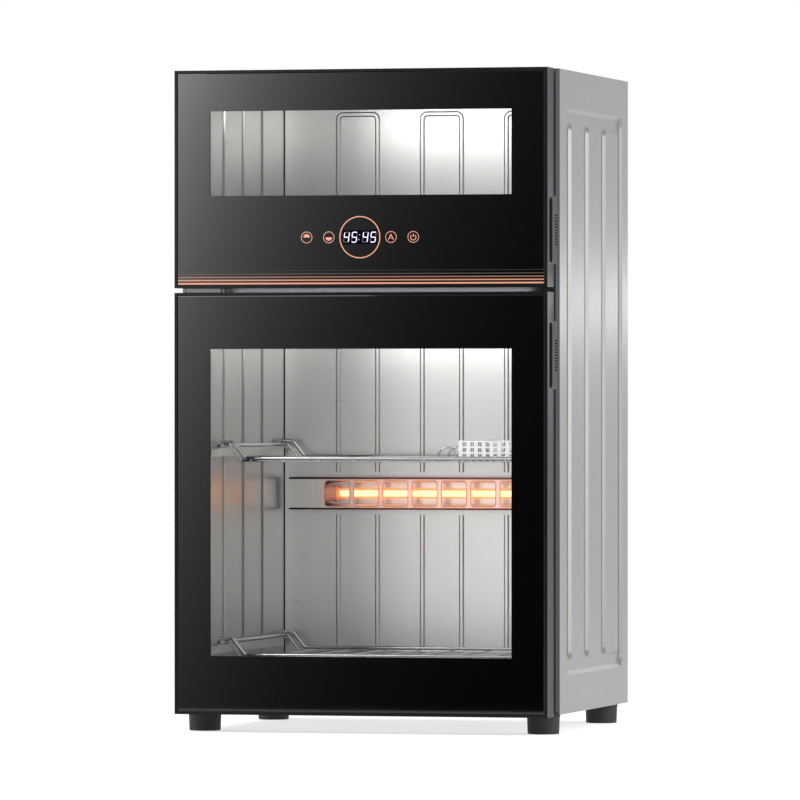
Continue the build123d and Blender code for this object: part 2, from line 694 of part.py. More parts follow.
# ---- hinges ----
TOP_ARM_TOP = CASE_TOP - HINGE_EDGE_DROP
BOTTOM_ARM_LOW = LOWER_DOOR_BOTTOM + HINGE_EDGE_DROP
LEG_X = AXIS_X - LEG_OUTSET
LEG_FACE = BEZEL_FACE - LEG_THICKNESS
MIDDLE_Z = (LOWER_DOOR_TOP + UPPER_DOOR_BOTTOM) / 2


def screw(x, z):
    """A countersunk screw through a hinge leg into the casing, head towards the front."""
    head = Cone(SCREW_HEAD_RADIUS, SCREW_RADIUS, SCREW_HEAD_HEIGHT)
    shaft = Pos(0, 0, (SCREW_LENGTH - SCREW_HEAD_HEIGHT) / 2) * Cylinder(
        SCREW_RADIUS, SCREW_LENGTH - SCREW_HEAD_HEIGHT
    )
    whole = head + Pos(0, 0, SCREW_HEAD_HEIGHT / 2) * shaft
    plane = Plane(origin=(x, LEG_FACE, z), x_dir=(1, 0, 0), z_dir=(0, 1, 0))
    return plane * Pos(0, 0, SCREW_HEAD_HEIGHT / 2) * whole


def arm(low):
    """The flat arm of a top or bottom hinge, from the leg to the pin, its underside at low."""
    high = low + ARM_THICKNESS
    bar = block(AXIS_X - ARM_HALF_WIDTH, AXIS_X + ARM_HALF_WIDTH, AXIS_Y, BEZEL_FACE, low, high)
    nose = Pos(AXIS_X, AXIS_Y, (low + high) / 2) * Cylinder(ARM_HALF_WIDTH, ARM_THICKNESS)
    return bar + nose


def pin_hole(radius):
    """A bore along the whole hinge axis."""
    return Pos(AXIS_X, AXIS_Y, (FLOOR_SIDE + CASE_TOP) / 2) * Cylinder(radius, 2 * CASE_HEIGHT)


def end_bracket(arm_low, leg_low):
    """The bracket of the top or the bottom hinge: an arm on an upright leg."""
    leg = block(
        LEG_X - LEG_WIDTH / 2, LEG_X + LEG_WIDTH / 2, LEG_FACE, BEZEL_FACE, leg_low, leg_low + LEG_HEIGHT
    )
    return leg + arm(arm_low) - pin_hole(PIN_RADIUS)


def middle_bracket():
    """The plate between the doors, which carries one pin for both, on a wide leg."""
    left = AXIS_X - PLATE_OVERHANG
    right = left + MIDDLE_PLATE_WIDTH
    plate = block(
        left, right, AXIS_Y - PLATE_OVERHANG, BEZEL_FACE,
        LOWER_DOOR_TOP + FIT_GAP, UPPER_DOOR_BOTTOM - FIT_GAP,
    )
    front_corners = plate.edges().filter_by(Axis.Z).sort_by(Axis.Y)[:2]
    plate = fillet(front_corners, PLATE_CORNER)
    half = MIDDLE_LEG_HEIGHT / 2
    plate += block(left, right, LEG_FACE, BEZEL_FACE, MIDDLE_Z - half, MIDDLE_Z + half)
    return plate - pin_hole(PIN_RADIUS)


def hinge_screws():
    """All the countersunk hinge screws."""
    places = []
    for leg_low in (TOP_ARM_TOP - LEG_HEIGHT, BOTTOM_ARM_LOW):
        for step in (-SCREW_SPREAD, SCREW_SPREAD):
            places.append((LEG_X, leg_low + LEG_HEIGHT / 2 + step))
    middle_x = AXIS_X - PLATE_OVERHANG + MIDDLE_PLATE_WIDTH / 2
    for step_x in (-MIDDLE_SCREW_SPREAD_X, MIDDLE_SCREW_SPREAD_X):
        for step_z in (-MIDDLE_SCREW_SPREAD_Z, MIDDLE_SCREW_SPREAD_Z):
            places.append((middle_x + step_x, MIDDLE_Z + step_z))
    return [screw(x, z) for x, z in places]


def hinge_slot(low):
    """The room that a hinge arm needs in the door's rear left corner as the door turns."""
    return block(
        -DOOR_SIDE - 1, AXIS_X + ARM_HALF_WIDTH + SLOT_CLEARANCE, LEDGE_BACK, DOOR_BACK + 1,
        low - SLOT_CLEARANCE, low + ARM_THICKNESS + SLOT_CLEARANCE,
    )


def bush(low):
    """The bush block inside the door's left-hand profile, its underside at low."""
    left = -DOOR_SIDE + FRAME_WALL
    back = DOOR_BACK - DOOR_LINER_SHEET - LEDGE_THICKNESS
    body = block(left, left + BUSH_WIDTH, LEDGE_BACK, back, low, low + BUSH_HEIGHT)
    return body - pin_hole(PIN_RADIUS + PIN_CLEARANCE)


def save_door(name, z0, z1, bottom_border, top_border, grip_z, chamber, bushes, slot):
    """Write the parts of one door; the borders are those of its clear window."""
    window0 = z0 + bottom_border
    window1 = z1 - top_border
    pin_clear = pin_hole(PIN_RADIUS + PIN_HOLE_CLEARANCE)
    liner = door_liner(z0, z1, window0, window1) - slot
    save(name + "_door_hinge_stile", frame_member("left", z0, z1) - slot)
    save(name + "_door_handle_stile", frame_member("right", z0, z1) - grip_opening(grip_z))
    save(name + "_door_top_rail", frame_member("top", z0, z1) - pin_clear - slot)
    save(name + "_door_bottom_rail", frame_member("bottom", z0, z1) - pin_clear - slot)
    save(name + "_door_glass", door_glass(z0, z1))
    save(name + "_door_liner", liner)
    save(name + "_door_seal", door_seal(*chamber))
    save(name + "_door_handle", grip(grip_z))
    save(name + "_door_bushes", solids_of(*bushes))
    print(name, "door window", round(window0, 1), round(window1, 1), "grip", round(grip_z, 1))


# ---- heater ----
def heater_guard():
    """The guard in front of the tube: a face with square windows and two turned edges."""
    half = GUARD_WIDTH / 2
    low = HEATER_Z - GUARD_HEIGHT / 2
    high = low + GUARD_HEIGHT
    guard = block(-half, half, GUARD_FACE, GUARD_FACE + SHEET, low, high)
    guard += block(-half, half, GUARD_FACE, REAR_WALL, low, low + SHEET)
    guard += block(-half, half, GUARD_FACE, REAR_WALL, high - SHEET, high)
    window = extrude(
        RectangleRounded(GUARD_WINDOW, GUARD_WINDOW, GUARD_WINDOW_RADIUS), 2 * SHEET, both=True
    )
    windows = [
        Plane(origin=(x, GUARD_FACE, HEATER_Z), z_dir=(0, -1, 0)) * window
        for x in spread(GUARD_WINDOWS, GUARD_PITCH)
    ]
    return guard - windows


def heater_caps():
    """The two ceramic ends of the tube."""
    caps = []
    for side in (-1, 1):
        start = (side * TUBE_LENGTH / 2, HEATER_Y, HEATER_Z)
        end = (side * (TUBE_LENGTH / 2 + CAP_LENGTH), HEATER_Y, HEATER_Z)
        cap = rod(start, end, CAP_RADIUS)
        caps.append(chamfer(cap.edges().filter_by(GeomType.CIRCLE), CAP_CHAMFER))
    return caps


def heater_clips():
    """The saddles that hold the ceramic ends to the reflector."""
    clips = []
    half = CAP_RADIUS + CLIP_WALL
    back = REAR_WALL + REFLECTOR_DEPTH
    for side in (-1, 1):
        x = side * (TUBE_LENGTH / 2 + CAP_LENGTH / 2)
        clip = block(
            x - CLIP_WIDTH / 2, x + CLIP_WIDTH / 2, HEATER_Y, back, HEATER_Z - half, HEATER_Z + half
        )
        clips.append(clip - Pos(x, HEATER_Y, HEATER_Z) * Rot(0, 90, 0) * Cylinder(CAP_RADIUS, 3 * CLIP_WIDTH))
    return clips


# ---- feet ----
def foot_places():
    """The four feet's axes."""
    x = SIDE - FOOT_INSET_X
    rows = (BEZEL_BACK + FOOT_FRONT_INSET, BACK - FOOT_BACK_INSET)
    return [(side * x, y) for y in rows for side in (-1, 1)]


def foot():
    """A tapered rubber foot with a lip at the top and a recess for its screw."""
    body = Cone(FOOT_BOTTOM_RADIUS, FOOT_TOP_RADIUS - FOOT_LIP_STEP, FOOT_HEIGHT - FOOT_LIP)
    body = Pos(0, 0, (FOOT_HEIGHT - FOOT_LIP) / 2) * body
    body = fillet(body.edges().sort_by(Axis.Z)[0], FOOT_ROUNDING)
    body += Pos(0, 0, FOOT_HEIGHT - FOOT_LIP / 2) * Cylinder(FOOT_TOP_RADIUS, FOOT_LIP)
    body -= Pos(0, 0, FOOT_SCREW_DEPTH / 2) * Cylinder(FOOT_SCREW_HEAD_RADIUS + 1, FOOT_SCREW_DEPTH)
    return body - Pos(0, 0, FOOT_HEIGHT / 2) * Cylinder(FOOT_SCREW_RADIUS, FOOT_HEIGHT)


def foot_screw():
    """A round-headed screw up through the foot into the base."""
    top = FOOT_HEIGHT + 2 * SHEET
    head_low = FOOT_SCREW_DEPTH - FOOT_SCREW_HEAD
    shaft = Pos(0, 0, (top + FOOT_SCREW_DEPTH) / 2) * Cylinder(
        FOOT_SCREW_RADIUS, top - FOOT_SCREW_DEPTH
    )
    head = Pos(0, 0, head_low + FOOT_SCREW_HEAD / 2) * Cylinder(
        FOOT_SCREW_HEAD_RADIUS, FOOT_SCREW_HEAD
    )
    return shaft + head


# ---- electrical parts ----
SWITCH_X = WALL + SWITCH_INSET
SWITCH_FRONT = BEZEL_BACK + SHEET
PLUNGER_TIP = DOOR_BACK + FIT_GAP
PLUNGER_END = SWITCH_FRONT + PLUNGER_SEAT
SWITCH_LEVELS = (LOWER_FLOOR + SWITCH_HEIGHT_IN_CHAMBER, UPPER_FLOOR + SWITCH_HEIGHT_IN_CHAMBER)


def plunger(z):
    """A door switch's plunger, pressed in by the closed door."""
    return rod((SWITCH_X, PLUNGER_TIP, z), (SWITCH_X, PLUNGER_END, z), PLUNGER_RADIUS)


def plunger_hole(z):
    """The running hole of a plunger."""
    start = (SWITCH_X, BEZEL_FACE - 1, z)
    end = (SWITCH_X, PLUNGER_END + FIT_GAP, z)
    return rod(start, end, PLUNGER_RADIUS + FIT_GAP)


def switch_body(z):
    """A door switch behind the bezel."""
    body = block(
        SWITCH_X - SWITCH_WIDTH / 2, SWITCH_X + SWITCH_WIDTH / 2, SWITCH_FRONT,
        SWITCH_FRONT + SWITCH_DEPTH, z - SWITCH_HEIGHT / 2, z + SWITCH_HEIGHT / 2,
    )
    return body - plunger_hole(z)


def gland_place():
    """Where the cable gland passes through the back panel."""
    x = SIDE - GLAND_SIDE
    return Plane(origin=(x, BACK - SHEET / 2, FLOOR_SIDE + GLAND_HEIGHT), z_dir=(0, -1, 0))


def cable_gland():
    """The gland of the mains lead, flush with the back panel."""
    length = GLAND_LENGTH
    body = Cylinder(GLAND_RADIUS, length) - Cylinder(GLAND_BORE, 2 * length)
    return gland_place() * Pos(0, 0, (length - SHEET) / 2) * body


BOARD_LOW = LOWER_CEILING + LINER_SHEET + BOARD_STANDOFF


def power_board():
    """The power board between the chambers, with its transformer, relays and terminals."""
    half_x, half_y = BOARD_WIDTH / 2, BOARD_DEPTH / 2
    top = BOARD_LOW + BOARD_THICKNESS
    board = block(-half_x, half_x, BOARD_Y - half_y, BOARD_Y + half_y, BOARD_LOW, top)
    left = -half_x + TRANSFORMER_INSET
    front, back = BOARD_Y - TRANSFORMER_DEPTH / 2, BOARD_Y + TRANSFORMER_DEPTH / 2
    board += block(left, left + TRANSFORMER_WIDTH, front, back, top, top + TRANSFORMER_HEIGHT)
    front, back = BOARD_Y - RELAY_DEPTH / 2, BOARD_Y + RELAY_DEPTH / 2
    for number in range(RELAY_COUNT):
        left = number * RELAY_PITCH
        board += block(left, left + RELAY_WIDTH, front, back, top, top + RELAY_HEIGHT)
    back = BOARD_Y + half_y - TERMINAL_INSET
    reach = half_x - TERMINAL_INSET
    return board + block(-reach, reach, back - TERMINAL_DEPTH, back, top, top + TERMINAL_HEIGHT)


def standoffs():
    """The four posts under the power board."""
    low = LOWER_CEILING + LINER_SHEET
    posts = []
    for side_x in (-1, 1):
        for side_y in (-1, 1):
            x = side_x * (BOARD_WIDTH / 2 - STANDOFF_INSET)
            y = BOARD_Y + side_y * (BOARD_DEPTH / 2 - STANDOFF_INSET)
            posts.append(rod((x, y, low), (x, y, BOARD_LOW), STANDOFF_RADIUS))
    return posts


def display_module():
    """The display and touch board behind the upper door's glass."""
    middle = UPPER_DOOR_BOTTOM + DISPLAY_RISE
    half_x, half_z = DISPLAY_WIDTH / 2, DISPLAY_HEIGHT / 2
    back = GLASS_BACK + DISPLAY_DEPTH
    low, high = middle - half_z, middle + half_z
    body = block(-half_x, half_x, GLASS_BACK, back, low, high)
    board_low, board_high = low - DISPLAY_RIM, high + DISPLAY_RIM
    rim = half_x + DISPLAY_RIM
    return body + block(-rim, rim, back - DISPLAY_BOARD, back, board_low, board_high)


def middle_rack_places():
    """The cross wires of the middle rack: wide spacing at the left, close under the basket."""
    close = [BASKET_LEFT + number * FINE_PITCH for number in range(FINE_COUNT)]
    wide = [number * CROSS_PITCH - RACK_FLOOR_X + WIRE_BEND for number in range(WIDE_COUNT)]
    loop_feet = [LOOP_X - LOOP_RADIUS, LOOP_X + LOOP_RADIUS]
    return wide + loop_feet + close


# ---- write every part ----
os.makedirs("parts", exist_ok=True)

leg_screws = hinge_screws()
holes = [plunger_hole(z) for z in SWITCH_LEVELS]
right_side = side_panel()
save("side_panel_right", right_side - holes)
save("side_panel_left", mirrored(right_side) - leg_screws)
save("top_panel", flat_panel(CASE_TOP - SHEET, CASE_TOP))
base_holes = [Pos(x, y, FOOT_HEIGHT) * Cylinder(FOOT_SCREW_RADIUS, 4 * SHEET) for x, y in foot_places()]
save("base_panel", flat_panel(FLOOR_SIDE, FLOOR_SIDE + SHEET) - base_holes)
save("back_panel", back_panel())
save("front_bezel", front_bezel() - leg_screws - holes)

for name, low, high in (
    ("upper", UPPER_FLOOR, UPPER_CEILING),
    ("lower", LOWER_FLOOR, LOWER_CEILING),
):
    wall = side_wall(low, high)
    save(name + "_wall_right", wall)
    save(name + "_wall_left", mirrored(wall))
    save(name + "_floor", level_wall(low - LINER_SHEET))
    save(name + "_ceiling", level_wall(high, vents=name == "upper"))
save("upper_rear_wall", upper_rear_wall())
save("lower_rear_wall", lower_rear_wall())

even_places = spread(CROSS_COUNT, CROSS_PITCH)
rack_tops = {
    "upper": UPPER_FLOOR + UPPER_RACK_HEIGHT,
    "middle": LOWER_FLOOR + MIDDLE_RACK_HEIGHT,
    "bottom": LOWER_FLOOR + BOTTOM_RACK_HEIGHT,
}
rails = {
    name: wall_rail(top - SIDE_WIRE_DROP - WIRE_RADIUS - FIT_GAP) for name, top in rack_tops.items()
}
save("upper_rack_rails", solids_of(rails["upper"], mirrored(rails["upper"])))
lower_rails = [rails["middle"], rails["bottom"]]
save("lower_rack_rails", solids_of(*lower_rails, *[mirrored(rail) for rail in lower_rails]))
save("upper_rack", rack(rack_tops["upper"], even_places))
save("middle_rack", rack(rack_tops["middle"], middle_rack_places(), LOOP_X))
save("bottom_rack", rack(rack_tops["bottom"], even_places))
wire_top = rack_tops["middle"] - RACK_DROP - THIN_DROP + THIN_WIRE_RADIUS
save("cutlery_basket", cutlery_basket(wire_top + FIT_GAP))

middle_low = LOWER_DOOR_TOP + FIT_GAP
top_arm_low = TOP_ARM_TOP - ARM_THICKNESS
save("hinge_bracket_top", end_bracket(top_arm_low, TOP_ARM_TOP - LEG_HEIGHT) - leg_screws)
save("hinge_bracket_middle", middle_bracket() - leg_screws)
save("hinge_bracket_bottom", end_bracket(BOTTOM_ARM_LOW, BOTTOM_ARM_LOW) - leg_screws)
pin_spans = (
    (top_arm_low - PIN_REACH, TOP_ARM_TOP),
    (LOWER_DOOR_TOP - FRAME_WALL - PIN_REACH, UPPER_DOOR_BOTTOM + FRAME_WALL + PIN_REACH),
    (BOTTOM_ARM_LOW, BOTTOM_ARM_LOW + ARM_THICKNESS + PIN_REACH),
)
pins = [rod((AXIS_X, AXIS_Y, low), (AXIS_X, AXIS_Y, high), PIN_RADIUS) for low, high in pin_spans]
save("hinge_pins", solids_of(*pins))

save_door(
    "upper", UPPER_DOOR_BOTTOM, CASE_TOP, UPPER_WINDOW_BOTTOM_BORDER, UPPER_WINDOW_TOP_BORDER,
    UPPER_DOOR_BOTTOM + UPPER_GRIP_CENTRE,
    (UPPER_FLOOR, UPPER_CEILING),
    [bush(UPPER_DOOR_BOTTOM + FRAME_WALL), bush(top_arm_low - SLOT_CLEARANCE - BUSH_HEIGHT)],
    hinge_slot(top_arm_low),
)
save_door(
    "lower", LOWER_DOOR_BOTTOM, LOWER_DOOR_TOP, LOWER_WINDOW_BOTTOM_BORDER, LOWER_WINDOW_TOP_BORDER,
    LOWER_DOOR_TOP - LOWER_GRIP_CENTRE,
    (LOWER_FLOOR, LOWER_CEILING),
    [
        bush(LOWER_DOOR_TOP - FRAME_WALL - BUSH_HEIGHT),
        bush(BOTTOM_ARM_LOW + ARM_THICKNESS + SLOT_CLEARANCE),
    ],
    hinge_slot(BOTTOM_ARM_LOW),
)
save("display_module", display_module())

save("heater_guard", heater_guard())
tube_ends = [(side * TUBE_LENGTH / 2, HEATER_Y, HEATER_Z) for side in (-1, 1)]
save("heater_tube", rod(*tube_ends, TUBE_RADIUS))
save("heater_caps", solids_of(*heater_caps()))
save("heater_clips", solids_of(*heater_clips()))

feet = [Pos(x, y, 0) * foot() for x, y in foot_places()]
foot_screws = [Pos(x, y, 0) * foot_screw() for x, y in foot_places()]
save("feet", solids_of(*feet))
save("screws", solids_of(*leg_screws, *foot_screws))

save("door_switches", solids_of(*[switch_body(z) for z in SWITCH_LEVELS]))
save("lower_switch_plunger", plunger(SWITCH_LEVELS[0]))
save("upper_switch_plunger", plunger(SWITCH_LEVELS[1]))
save("cable_gland", cable_gland())
save("power_board", power_board())
save("board_standoffs", solids_of(*standoffs()))
half_ptc = PTC_WIDTH / 2
ptc_top = UPPER_FLOOR - LINER_SHEET
heater_plate = block(-half_ptc, half_ptc, OZONE_Y - PTC_DEPTH, OZONE_Y, ptc_top - PTC_THICKNESS, ptc_top)
save("upper_heater_plate", heater_plate)
ozone_low = UPPER_CEILING + LINER_SHEET
half_ozone = OZONE_WIDTH / 2
ozone = block(
    -half_ozone, half_ozone, OZONE_Y - OZONE_DEPTH / 2, OZONE_Y + OZONE_DEPTH / 2,
    ozone_low, ozone_low + OZONE_HEIGHT,
)
save("ozone_generator", ozone)
cutouts = [
    rod((x, REAR_WALL + LINER_SHEET, HEATER_Z + GUARD_HEIGHT),
        (x, REAR_WALL + LINER_SHEET + CUTOUT_HEIGHT, HEATER_Z + GUARD_HEIGHT), CUTOUT_RADIUS)
    for x in spread(2, BOARD_WIDTH)
]
save("thermal_cutouts", solids_of(*cutouts))
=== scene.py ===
"""The looks of a two-door dish sterilizer cabinet, built round its packed construction model."""

import json
import math

import bmesh
import bpy
from bpy.props import FloatProperty, FloatVectorProperty, IntProperty, PointerProperty, StringProperty
from mathutils import Matrix, Vector

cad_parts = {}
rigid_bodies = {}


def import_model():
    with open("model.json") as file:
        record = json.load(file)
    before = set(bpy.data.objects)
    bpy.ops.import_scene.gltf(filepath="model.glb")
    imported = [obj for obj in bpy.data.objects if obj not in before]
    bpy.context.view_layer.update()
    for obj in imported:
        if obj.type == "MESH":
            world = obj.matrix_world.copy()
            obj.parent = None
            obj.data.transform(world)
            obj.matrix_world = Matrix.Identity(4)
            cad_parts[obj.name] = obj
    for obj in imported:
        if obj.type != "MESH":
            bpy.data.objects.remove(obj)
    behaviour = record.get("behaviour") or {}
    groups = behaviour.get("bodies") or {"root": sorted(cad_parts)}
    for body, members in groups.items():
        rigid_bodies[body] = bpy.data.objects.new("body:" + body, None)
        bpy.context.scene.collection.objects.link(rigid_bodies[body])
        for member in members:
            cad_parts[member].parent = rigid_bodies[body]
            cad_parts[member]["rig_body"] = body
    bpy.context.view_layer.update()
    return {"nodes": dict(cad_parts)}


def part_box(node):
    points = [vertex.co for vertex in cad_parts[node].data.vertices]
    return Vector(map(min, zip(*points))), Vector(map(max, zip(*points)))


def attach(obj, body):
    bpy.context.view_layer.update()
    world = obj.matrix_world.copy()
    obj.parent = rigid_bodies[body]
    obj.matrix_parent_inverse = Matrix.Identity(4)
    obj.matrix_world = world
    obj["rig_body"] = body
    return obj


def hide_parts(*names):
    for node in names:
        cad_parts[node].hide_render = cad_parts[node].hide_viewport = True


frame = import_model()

bl_info = {
    "name": "Dish sterilizer cabinet",
    "version": (1, 0, 0),
    "blender": (4, 5, 0),
    "location": "3D View > Sidebar > Cabinet",
    "description": "Finishes, glass doors, display, glowing tube and studio of a dish sterilizer cabinet",
    "category": "Object",
}

MM = 0.001
UPRIGHT = Matrix.Rotation(math.radians(90), 4, "X")  # stands a flat shape up to face the front


def linear(code):
    """An sRGB colour such as #C0A080 as three linear numbers."""
    parts = [int(code[i : i + 2], 16) / 255 for i in (1, 3, 5)]
    return tuple(c / 12.92 if c <= 0.04045 else ((c + 0.055) / 1.055) ** 2.4 for c in parts)


# ---- what a user may change ----
def length(name, text, value):
    """A length in metres that the sidebar shows."""
    return FloatProperty(name=name, description=text, default=value, min=0, unit="LENGTH", subtype="DISTANCE")


def colour(name, text, code):
    """A colour that the sidebar shows."""
    return FloatVectorProperty(
        name=name, description=text, default=linear(code), size=3, min=0, max=1, subtype="COLOR"
    )


def share(name, text, value):
    """A share from nothing to all that the sidebar shows."""
    return FloatProperty(name=name, description=text, default=value, min=0, max=1, subtype="FACTOR")


def strength(name, text, value):
    """The strength of a light or a glow."""
    return FloatProperty(name=name, description=text, default=value, min=0)


class CasingLooks(bpy.types.PropertyGroup):
    """Sheet steel casing, bezel, feet and fittings."""

    casing_colour: colour("Casing colour", "Silver-grey coat of the sheet steel casing", "#828281")
    bezel_colour: colour("Bezel colour", "Darker coat of the front surround", "#3C3D40")
    zinc_colour: colour("Zinc colour", "Galvanised base and back", "#A4A8A9")
    rubber_colour: colour("Rubber colour", "Feet", "#17171A")
    casing_roughness: share("Casing roughness", "Roughness of the casing's coat", 0.3)
    peel_pitch: length("Peel pitch", "Spacing of the coat's orange peel", 4 * MM)


class ChamberLooks(bpy.types.PropertyGroup):
    """Steel chambers, rails, wire racks and basket."""

    steel_colour: colour("Steel colour", "Bright steel sheet of the chambers", "#D9D8D6")
    wire_colour: colour("Wire colour", "Chrome plate of the racks", "#B9B9B9")
    steel_roughness: share("Steel roughness", "Roughness of the chamber steel", 0.3)
    brush_pitch: length("Brush pitch", "Spacing of the brush lines", 2 * MM)


class DoorLooks(bpy.types.PropertyGroup):
    """Glass doors, their frames and what is printed on them."""

    glass_colour: colour("Glass print", "Black enamel fired on the glass round the windows", "#050506")
    frame_colour: colour("Frame colour", "Black anodised aluminium frame", "#27272A")
    copper_colour: colour("Copper colour", "Rose-gold print on the glass", "#DC9A82")
    inner_colour: colour("Inner panel", "Moulded inner panel of a door", "#2B2C2F")
    window_width: length("Window width", "Clear width of both windows", 339.6 * MM)
    upper_window_low: length("Upper window, low", "Height of the upper window's lower edge", 588.2 * MM)
    upper_window_high: length("Upper window, high", "Height of the upper window's upper edge", 681.2 * MM)
    lower_window_low: length("Lower window, low", "Height of the lower window's lower edge", 84.0 * MM)
    lower_window_high: length("Lower window, high", "Height of the lower window's upper edge", 420.5 * MM)
    glass_arris: length("Glass arris", "Ground edge of the glass", 0.6 * MM)
    frame_edge: length("Frame edge", "Broken edge of the frame bars", 0.35 * MM)
    grip_slots: IntProperty(name="Grip slots", description="Slots across a door's grip", default=11, min=1)
    slot_pitch: length("Slot pitch", "Spacing of the slots", 3.2 * MM)
    slot_height: length("Slot height", "Height of a slot", 1.7 * MM)
    slot_depth: length("Slot depth", "Depth of a slot at the grip's back", 1.4 * MM)
    grip_width: length("Grip width", "Width of the sloping grip", 12.2 * MM)
    grip_rise: length("Grip rise", "How far the grip stands out at its back", 2.9 * MM)
    ink_thickness: length("Ink thickness", "How far the print stands on the glass", 0.05 * MM)


class DisplayLooks(bpy.types.PropertyGroup):
    """Time display, its ring and the touch keys."""

    time: StringProperty(name="Time", description="Digits and colon that the display shows", default="45:45")
    lit_colour: colour("Lit colour", "Glow of the lit segments", "#DAD6FF")
    unlit_colour: colour("Unlit colour", "Segments that are off", "#5A5A38")
    glow: strength("Glow", "Strength of the lit segments", 1.0)
    middle: length("Middle", "Height of the display's middle", 542.3 * MM)
    ring_radius: length("Ring radius", "Radius of the ring round the time", 22.5 * MM)
    ring_line: length("Ring line", "Line width of that ring", 1.15 * MM)
    digit_width: length("Digit width", "Width of a digit", 5.3 * MM)
    digit_height: length("Digit height", "Height of a digit", 10.8 * MM)
    segment: length("Segment", "Width of a digit's segments", 0.95 * MM)
    slant: share("Slant", "How far a digit leans for its height", 0.13)
    key_radius: length("Key radius", "Radius of a touch key's ring", 6.0 * MM)
    key_line: length("Key line", "Line width of a touch key's ring", 0.7 * MM)
    inner_key: length("Inner keys", "Middle of the display to the inner keys", 35 * MM)
    outer_key: length("Outer keys", "Middle of the display to the outer keys", 60 * MM)


class HeaterLooks(bpy.types.PropertyGroup):
    """Quartz tube heater in the lower chamber."""

    tube_colour: colour("Tube colour", "Glow of the quartz tube's wall", "#FF9A3C")
    coil_colour: colour("Coil colour", "Glow of the hot coil", "#FFEBC9")
    tube_glow: strength("Tube glow", "Strength of the wall's glow", 0.9)
    coil_glow: strength("Coil glow", "Strength of the coil's glow", 1.15)
    coil_pitch: length("Coil pitch", "Spacing of the coil's turns", 2.0 * MM)
    coil_radius: length("Coil radius", "Tube's axis to the coil's wire", 3.1 * MM)
    coil_wire: length("Coil wire", "Radius of the coil's wire", 0.85 * MM)
    tube_wall: length("Tube wall", "Wall of the quartz tube", 1.0 * MM)
    guard_windows: IntProperty(name="Guard windows", description="Windows in the guard", default=8, min=1)
    guard_window: length("Guard window", "Side of a window in the guard", 28.7 * MM)
    guard_pitch: length("Guard pitch", "Spacing of the guard's windows", 34.3 * MM)
    guard_window_radius: length("Window corner", "Corner radius of a guard window", 3.5 * MM)
    rim_width: length("Rim width", "Turned edge round a guard window", 0.7 * MM)
    rim_height: length("Rim height", "How far that edge stands out", 0.6 * MM)


class StudioLooks(bpy.types.PropertyGroup):
    """Camera, floor, background and lamps."""

    camera_x: FloatProperty(name="Camera X", description="Camera's place", default=2.018, unit="LENGTH")
    camera_y: FloatProperty(name="Camera Y", description="Camera's place", default=-8.074, unit="LENGTH")
    camera_z: FloatProperty(name="Camera Z", description="Camera's place", default=0.3647, unit="LENGTH")
    turn: FloatProperty(
        name="Turn", description="About the upright", default=math.radians(14.06), subtype="ANGLE"
    )
    lens: FloatProperty(name="Lens", description="Focal length in millimetres", default=335.5, min=1)
    floor_width: length("Floor width", "Side of the square floor", 80.0)
    sky: strength("Sky", "Even light from all round", 0.62)
    key_light: strength("Key light", "Soft lamp above the front left", 60.0)
    strip_light: strength("Strip light", "Long lamp behind the right-hand side", 0.6)
    side_light: strength("Side light", "Large soft lamp at the right-hand side", 40.0)
    gap_light: strength("Gap light", "Light that falls between the doors on the casing's crossbar", 0.06)
    heater_light: strength("Heater light", "Warm light that the tube throws back into the chamber", 0.016)
    chamber_light: strength("Chamber light", "Soft lamp under each chamber's ceiling", 0.16)


def settings(group):
    """One group of the sidebar's settings."""
    return getattr(bpy.context.scene, group + "_looks")


# ---- materials ----
def add(tree, kind, values=None, links=None, **attributes):
    """One node with its attributes, the values of its sockets and the sockets linked to it."""
    node = tree.nodes.new(kind)
    for name, value in attributes.items():
        setattr(node, name, value)
    for socket, value in (values or {}).items():
        node.inputs[socket].default_value = value
    for socket, source in (links or {}).items():
        tree.links.new(source, node.inputs[socket])
    return node


def rgba(value, factor=1.0):
    """A colour with its alpha, made lighter or darker by a factor."""
    return tuple(min(1.0, c * factor) for c in value) + (1.0,)


def object_point(tree):
    """Where a point of a surface lies, in its piece's own axes."""
    return add(tree, "ShaderNodeTexCoord").outputs["Object"]


def blend(tree, first, second, factor):
    """A mix of two colours."""
    ends = {6: first, 7: second}
    return add(tree, "ShaderNodeMix", ends, {0: factor}, data_type="RGBA").outputs[2]


def arithmetic(tree, operation, links, values=None):
    """The result of a sum with some sockets linked and some given a value."""
    return add(tree, "ShaderNodeMath", values, links, operation=operation).outputs[0]


def glowing(code, power):
    """Socket values of a surface that also gives off some light."""
    return {"Emission Color": rgba(linear(code)), "Emission Strength": power}


def surface_output(tree, shader):
    """Send a shader to the material's output."""
    add(tree, "ShaderNodeOutputMaterial", None, {"Surface": shader.outputs[0]})


def empty_tree(name):
    """A new material and its node tree with nothing in it."""
    material = bpy.data.materials.new(name)
    material.use_nodes = True
    material.node_tree.nodes.clear()
    return material, material.node_tree


